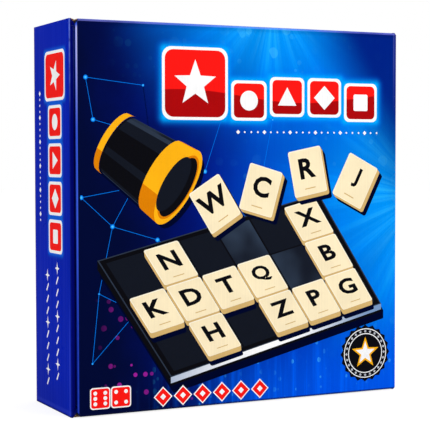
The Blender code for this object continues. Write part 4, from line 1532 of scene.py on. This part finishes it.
# Pictured board on a slanted plane, in cells of one tile each
BOARD_ORIGIN = (-54.0, 26.0)
BOARD_ACROSS = (0.945, 0.235)
BOARD_UP = (-0.43, 0.66)
BOARD_DROP = (0.0, -6.0)
BOARD_SHADE = (2.0, -5.0)
BOARD_EDGE = 4.2
BOARD_COLUMNS = 6
BOARD_ROWS = 3
BOARD_MARGIN = 4.0
BOARD_RIM = 1.0
CELL_INSET = 0.6
TILE_DROP = (0.4, -3.4)
TILE_LIFT = 1.6
BOARD_TILES = (
    (1, 2, "N"), (5, 2, "X"),
    (0, 1, "K"), (1, 1, "D"), (2, 1, "T"), (3, 1, "Q"), (5, 1, "B"),
    (1, 0, "H"), (3, 0, "Z"), (4, 0, "P"), (5, 0, "G"),
)


def board_point(across, up):
    """Point of the pictured board on the lid's print."""
    return slanted([(across, up)], BOARD_ORIGIN, BOARD_ACROSS, BOARD_UP)[0]


def board_patch(low_across, low_up, high_across, high_up):
    """Outline of a rectangle on the pictured board."""
    corners = ((low_across, low_up), (high_across, low_up), (high_across, high_up), (low_across, high_up))
    return [board_point(*corner) for corner in corners]


def print_board():
    """Picture of a dark board with a grid, a bright front edge and tiles laid crosswise."""
    shape = bmesh.new()
    cell_width, cell_length = PICTURE_TILE_WIDTH + TILE_SPACE, PICTURE_TILE_LENGTH + TILE_SPACE
    width, length = BOARD_COLUMNS * cell_width, BOARD_ROWS * cell_length
    whole = board_patch(-BOARD_MARGIN, -BOARD_MARGIN, width + BOARD_MARGIN, length + BOARD_MARGIN)
    dropped = moved(whole, *BOARD_DROP)
    stamp(shape, LID_FACE, wrapped(moved(whole + dropped, *BOARD_SHADE)), 7, 5)
    stamp(shape, LID_FACE, wrapped(whole + dropped), 8, 0)
    stamp(shape, LID_FACE, whole[:2] + moved(whole[1::-1], 0.0, -BOARD_EDGE), 9, 3)
    stamp(shape, LID_FACE, whole, 10, 2)
    rim = BOARD_MARGIN - BOARD_RIM
    stamp(shape, LID_FACE, board_patch(-rim, -rim, width + rim, length + rim), 11, 0)
    for row in range(BOARD_ROWS):
        for column in range(BOARD_COLUMNS):
            low = (column * cell_width + CELL_INSET, row * cell_length + CELL_INSET)
            high = ((column + 1) * cell_width - CELL_INSET, (row + 1) * cell_length - CELL_INSET)
            stamp(shape, LID_FACE, board_patch(*low, *high), 12, 1 + 3 * ((row + column) % 2))
    add_print("printed_board", shape, [BLACK_INK, DARK_INK, SLATE_INK, METAL_INK, SLOPE_INK, SHADE_INK])

    for row in reversed(range(BOARD_ROWS)):
        shape = bmesh.new()
        layer = 13 + 5 * (BOARD_ROWS - 1 - row)
        for column, tile_row, letter in BOARD_TILES:
            if tile_row == row:
                across = column * cell_width + TILE_SPACE / 2
                up = row * cell_length + TILE_SPACE / 2 + TILE_LIFT
                stamp_tile(shape, board_point(across, up), BOARD_ACROSS, BOARD_UP, TILE_DROP, letter, layer)
        add_print(f"printed_board_tiles_{row + 1}", shape, TILE_INKS)


# Falling tiles: middle, turn in degrees and letter
FALLING_TILES = (
    (-22.0, 141.0, 32.0, "W"), (14.0, 150.0, -16.0, "C"),
    (52.0, 163.0, 11.0, "R"), (92.0, 156.0, -27.0, "J"),
)
FALLING_LENGTH_SHARE = 0.9
FALLING_DROP = (1.8, -2.4)
FALLING_LAYER = 28


def print_falling_tiles():
    """Pictures of tiles that tumble from the cup."""
    shape = bmesh.new()
    corner = [(-PICTURE_TILE_WIDTH / 2, -PICTURE_TILE_LENGTH / 2)]
    for across, up, turn, letter in FALLING_TILES:
        angle = math.radians(turn)
        right = (math.cos(angle), math.sin(angle))
        rise = (-math.sin(angle) * FALLING_LENGTH_SHARE, math.cos(angle) * FALLING_LENGTH_SHARE)
        origin = slanted(corner, (across, up), right, rise)[0]
        stamp_tile(shape, origin, right, rise, FALLING_DROP, letter, FALLING_LAYER)
    add_print("printed_falling_tiles", shape, TILE_INKS)


# Pictured cup on its side: black, with an amber rim
CUP_BASE = Vector((-98.0, 184.0))
CUP_MOUTH = Vector((-50.0, 153.0))
CUP_BASE_RADIUS = 21.0
CUP_MOUTH_RADIUS = 28.0
CUP_FLATTENING = 0.36
CUP_SHADE = (2.5, -4.0)
CUP_AMBER_SHARE = 1.05
CUP_STRIPS = 14
CUP_SHADES = (2, 4, 2, 1, 1, 0, 0, 0, 1, 0, 0, 0, 1, 2)
CUP_BANDS = ((0.0, 0.08, True), (0.08, 0.10, None), (0.10, 0.74, False), (0.74, 1.0, True))


def cup_point(share, angle, size=1.0):
    """Point round the cup, at a share of its length and an angle in degrees from its far silhouette."""
    axis = (CUP_MOUTH - CUP_BASE).normalized()
    side = Vector((-axis.y, axis.x))
    radius = (CUP_BASE_RADIUS + (CUP_MOUTH_RADIUS - CUP_BASE_RADIUS) * share) * size
    turn = math.radians(angle)
    middle = CUP_BASE.lerp(CUP_MOUTH, share)
    across = radius * math.cos(turn)
    towards = radius * CUP_FLATTENING * math.sin(turn)
    return tuple(middle + side * across - axis * towards)


def cup_ring(share, size):
    """Ellipse round the cup at a share of its length."""
    return [cup_point(share, angle, size) for angle in range(0, 360, 9)]


def print_cup():
    """Picture of a black cup with an amber rim and lining."""
    shape = bmesh.new()
    silhouette = [cup_point(share, angle) for share in (0.0, 1.0) for angle in range(0, 360, 12)]
    stamp(shape, LID_FACE, wrapped(moved(silhouette, *CUP_SHADE)), 8, 5)
    for start, end, amber in CUP_BANDS:
        size = CUP_AMBER_SHARE if amber else 1.0
        for i in range(CUP_STRIPS):
            low, high = 180.0 * i / CUP_STRIPS, 180.0 * (i + 1) / CUP_STRIPS
            corners = [cup_point(start, low, size), cup_point(start, high, size)]
            corners += [cup_point(end, high, size), cup_point(end, low, size)]
            if amber:
                slot = 3 if 1 <= i < 9 else 6
            else:
                slot = 0 if amber is None else CUP_SHADES[i]
            stamp(shape, LID_FACE, corners, 9 + bool(amber), slot)
    for layer, (size, slot) in enumerate(((CUP_AMBER_SHARE, 3), (0.90, 6), (0.83, 0)), start=11):
        stamp(shape, LID_FACE, cup_ring(1.0, size), layer, slot)
    stamp(shape, LID_FACE, cup_ring(0.93, 0.78), 14, 1)
    inks = [BLACK_INK, DARK_INK, SLATE_INK, AMBER_INK, SLOPE_INK, SHADE_INK, DARK_AMBER_INK]
    add_print("printed_cup", shape, inks)


SEAL_MIDDLE = (101.0, 29.0)
SEAL_RADIUS = 21.0


def print_seal():
    """Rosette with a star."""
    shape = bmesh.new()
    rim = regular_star(20, SEAL_RADIUS, SEAL_RADIUS * 0.91)
    stamp(shape, LID_FACE, moved(rim, *SEAL_MIDDLE), TOP_LAYER, 2)
    for i, (share, slot) in enumerate(((0.87, 0), (0.84, 2), (0.70, 0), (0.67, 2)), start=1):
        disc = regular_polygon(64, SEAL_RADIUS * share)
        stamp(shape, LID_FACE, moved(disc, *SEAL_MIDDLE), TOP_LAYER + i, slot)
    for i in range(24):
        place = arc(SEAL_MIDDLE, SEAL_RADIUS * 0.77, 15.0 * i, 15.0 * i, 1)[0]
        stamp(shape, LID_FACE, moved(regular_polygon(4, 1.1), *place, 15.0 * i), TOP_LAYER + 3, 1)
    for i, (outer, inner, slot) in enumerate(((12.0, 5.0, 3), (8.6, 3.5, 0)), start=5):
        stamp(shape, LID_FACE, moved(regular_star(5, outer, inner), *SEAL_MIDDLE), TOP_LAYER + i, slot)
    add_print("printed_seal", shape, [WHITE_INK, GREY_INK, BLACK_INK, AMBER_INK])


PIP_PLACES = {
    4: ((-1, -1), (1, 1), (-1, 1), (1, -1)),
    6: ((-1, -1), (1, 1), (-1, 1), (1, -1), (-1, 0), (1, 0)),
}

SQUARES = ((-108.0, 6), (-93.0, 4))
SQUARES_UP = 12.0
SQUARE_OUTLINES = ((14.6, 2.2, 0), (13.0, 1.6, 1))
PIP_RADIUS = 1.35
PIP_PITCH = 3.6
LOZENGES = 6
LOZENGE_START = -62.0
LOZENGE_PITCH = 15.0
LOZENGE_UP = 9.5
LOZENGE_OUTLINES = ((7.0, 0), (6.0, 1), (2.2, 0))


def print_small_squares():
    """Two small red squares with pips, and a row of red lozenges."""
    shape = bmesh.new()
    for across, count in SQUARES:
        for layer, (size, corner, slot) in enumerate(SQUARE_OUTLINES, start=TOP_LAYER):
            outline = moved(rounded_rectangle(size, size, corner), across, SQUARES_UP)
            stamp(shape, LID_FACE, outline, layer, slot)
        for i, j in PIP_PLACES[count]:
            pip = moved(regular_polygon(20, PIP_RADIUS), across + i * PIP_PITCH, SQUARES_UP + j * PIP_PITCH)
            stamp(shape, LID_FACE, pip, TOP_LAYER + 2, 0)
    for i in range(LOZENGES):
        middle = (LOZENGE_START + LOZENGE_PITCH * i, LOZENGE_UP)
        for layer, (radius, slot) in enumerate(LOZENGE_OUTLINES, start=TOP_LAYER):
            stamp(shape, LID_FACE, moved(regular_polygon(4, radius), *middle), layer, slot)
    add_print("printed_small_squares", shape, [WHITE_INK, PLAIN_RED_INK])


# Ornaments on the spine: a line of dots beside the blocks, and below them two lines of stars and bars
SPINE_LAYER = 4
SPINE_DOTS = 22
SPINE_DOTS_ACROSS = -25.0
SPINE_DOTS_TOP = 218.0
SPINE_DOTS_PITCH = 4.2
SPINE_DOT_SIZES = (1.9, 1.0, 1.0, 1.0)
SPINE_LINES = ((9.0, 98.0), (-11.0, 92.0))
SPINE_MARKS = 10
SPINE_MARKS_PITCH = 8.2
SPINE_BAR_TURN = -38.0


def print_spine():
    """Column of red blocks and fine white ornaments on the spine."""
    shape = bmesh.new()
    for (up, size), symbol in zip(SPINE_BLOCKS, SYMBOLS):
        middle = (SPINE_ACROSS, up)
        size -= 2 * OUTLINE_WIDTH
        stamp_block(shape, SPINE_FACE, middle, size, symbol, SPINE_LAYER, -90.0, SPINE_TALL_SHARE)
    for i in range(SPINE_DOTS):
        dot = regular_polygon(4, SPINE_DOT_SIZES[i % len(SPINE_DOT_SIZES)])
        dot = moved(dot, SPINE_DOTS_ACROSS, SPINE_DOTS_TOP - i * SPINE_DOTS_PITCH)
        stamp(shape, SPINE_FACE, dot, SPINE_LAYER, 0)
    star = (regular_star(4, 4.4, 1.3), 0.0)
    bar = (rounded_rectangle(1.5, 6.8, 0.7, 2), SPINE_BAR_TURN)
    for across, start in SPINE_LINES:
        for i in range(SPINE_MARKS):
            outline, turn = bar if i % 4 else star
            mark = moved(outline, across, start - i * SPINE_MARKS_PITCH, turn)
            stamp(shape, SPINE_FACE, mark, SPINE_LAYER, 0)
    add_print("printed_spine", shape, [SPINE_WHITE_INK, SPINE_RED_INK], "carton")


# Stage, camera and lights
CAMERA_PLACE = (-0.43315, -0.87641, 0.17215)
CAMERA_YAW = 26.12
CAMERA_PITCH = 2.38
CAMERA_ROLL = -0.11
CAMERA_LENS = 112.67
CAMERA_SENSOR = 36.0


def build_camera():
    """Camera at the photograph's place."""
    data = bpy.data.cameras.new("camera")
    data.lens = CAMERA_LENS
    data.sensor_width = CAMERA_SENSOR
    camera = new_object("camera", data)
    yaw, pitch = math.radians(CAMERA_YAW), math.radians(CAMERA_PITCH)
    look = Vector((math.sin(yaw) * math.cos(pitch), math.cos(yaw) * math.cos(pitch), -math.sin(pitch)))
    right = Vector((math.cos(yaw), -math.sin(yaw), 0.0))
    up = right.cross(look)
    turned = Matrix((right, up, -look)).transposed() @ Matrix.Rotation(math.radians(CAMERA_ROLL), 3, "Z")
    camera.matrix_world = Matrix.Translation(CAMERA_PLACE) @ turned.to_4x4()
    bpy.context.scene.camera = camera


# Large soft lights: name, place, size and power
LIGHTS = (
    ("top_softbox", (0.35, -0.35, 1.5), (1.4, 1.4), 7.0),
    ("left_softbox", (-1.25, -0.75, 0.5), (0.5, 1.4), 6.0),
    ("right_softbox", (0.9, -1.3, 0.6), (1.0, 1.2), 8.0),
)


def add_light(name, place, size, power):
    """Area light that looks at the carton's middle."""
    data = bpy.data.lights.new(name, "AREA")
    data.shape = "RECTANGLE"
    data.size, data.size_y = size
    data.energy = power
    look = Vector((0.0, 0.0, HEIGHT / 2)) - Vector(place)
    turned = look.to_track_quat("-Z", "Y").to_matrix().to_4x4()
    new_object(name, data).matrix_world = Matrix.Translation(place) @ turned


def seen_directly(tree):
    """Signal that is 1 for camera, glossy and transmission rays."""
    path = add(tree, "ShaderNodeLightPath").outputs
    rays = [Signal(tree, path[name]) for name in ("Is Camera Ray", "Is Glossy Ray", "Is Transmission Ray")]
    return rays[0].calc("MAXIMUM", rays[1]).calc("MAXIMUM", rays[2])


AMBIENT = 0.62
FLOOR_BOUNCE = 0.8
FLOOR_GLOW = 0.78
FLOOR_SHADE = 0.36
FLOOR_ROUGHNESS = 0.9
FLOOR_REACH = 6.0
FLOOR_SINK = 0.0002


def grey(value):
    """Linear grey."""
    return (value, value, value, 1.0)


def build_world():
    """White surroundings, dimmer as a light than as they are seen."""
    world = bpy.data.worlds.new("studio")
    bpy.context.scene.world = world
    world.use_nodes = True
    tree = world.node_tree
    background = tree.nodes["Background"].inputs
    feed(tree, background["Strength"], seen_directly(tree) * (1.0 - AMBIENT) + AMBIENT)
    background["Color"].default_value = grey(1.0)


def build_floor():
    """White floor that keeps a faint shadow."""
    material, tree, shader = new_material("studio_floor")
    seen = seen_directly(tree)
    feed(tree, shader.inputs["Base Color"], mixed(tree, seen, grey(FLOOR_BOUNCE), grey(FLOOR_SHADE)))
    shader.inputs["Roughness"].default_value = FLOOR_ROUGHNESS
    shader.inputs["Specular IOR Level"].default_value = 0.0
    shader.inputs["Emission Color"].default_value = grey(1.0)
    feed(tree, shader.inputs["Emission Strength"], seen * FLOOR_GLOW)
    mesh = bpy.data.meshes.new("floor")
    sides = ((-1, -1), (1, -1), (1, 1), (-1, 1))
    corners = [(a * FLOOR_REACH, b * FLOOR_REACH, -FLOOR_SINK) for a, b in sides]
    mesh.from_pydata(corners, [], [(0, 1, 2, 3)])
    mesh.materials.append(material)
    floor = new_object("floor", mesh)


def build_stage():
    """Floor, surroundings and lights, in plain screen colours."""
    build_world()
    build_floor()
    for light in LIGHTS:
        add_light(*light)
    bpy.context.scene.view_settings.view_transform = "Standard"


# Build everything
build_camera()
build_stage()
build_spine_wall()
build_end_wall("bottom_wall", lambda y, inward, x: Vector((x, y, BASE + inward)), BOTTOM_CUT)
build_end_wall("top_wall", lambda y, inward, x: Vector((x, y, HEIGHT - inward)), TOP_CUT)
build_lid()
build_creases()
dress_carton()
dress_contents()
for level in ("lower", "upper"):
    build_cap(f"{level}_cap_left", -1)
    build_cap(f"{level}_cap_right", 1)
build_tile_stacks()
print_network()
print_cup()
print_board()
print_falling_tiles()
print_title()
print_seal()
print_small_squares()
print_spine()
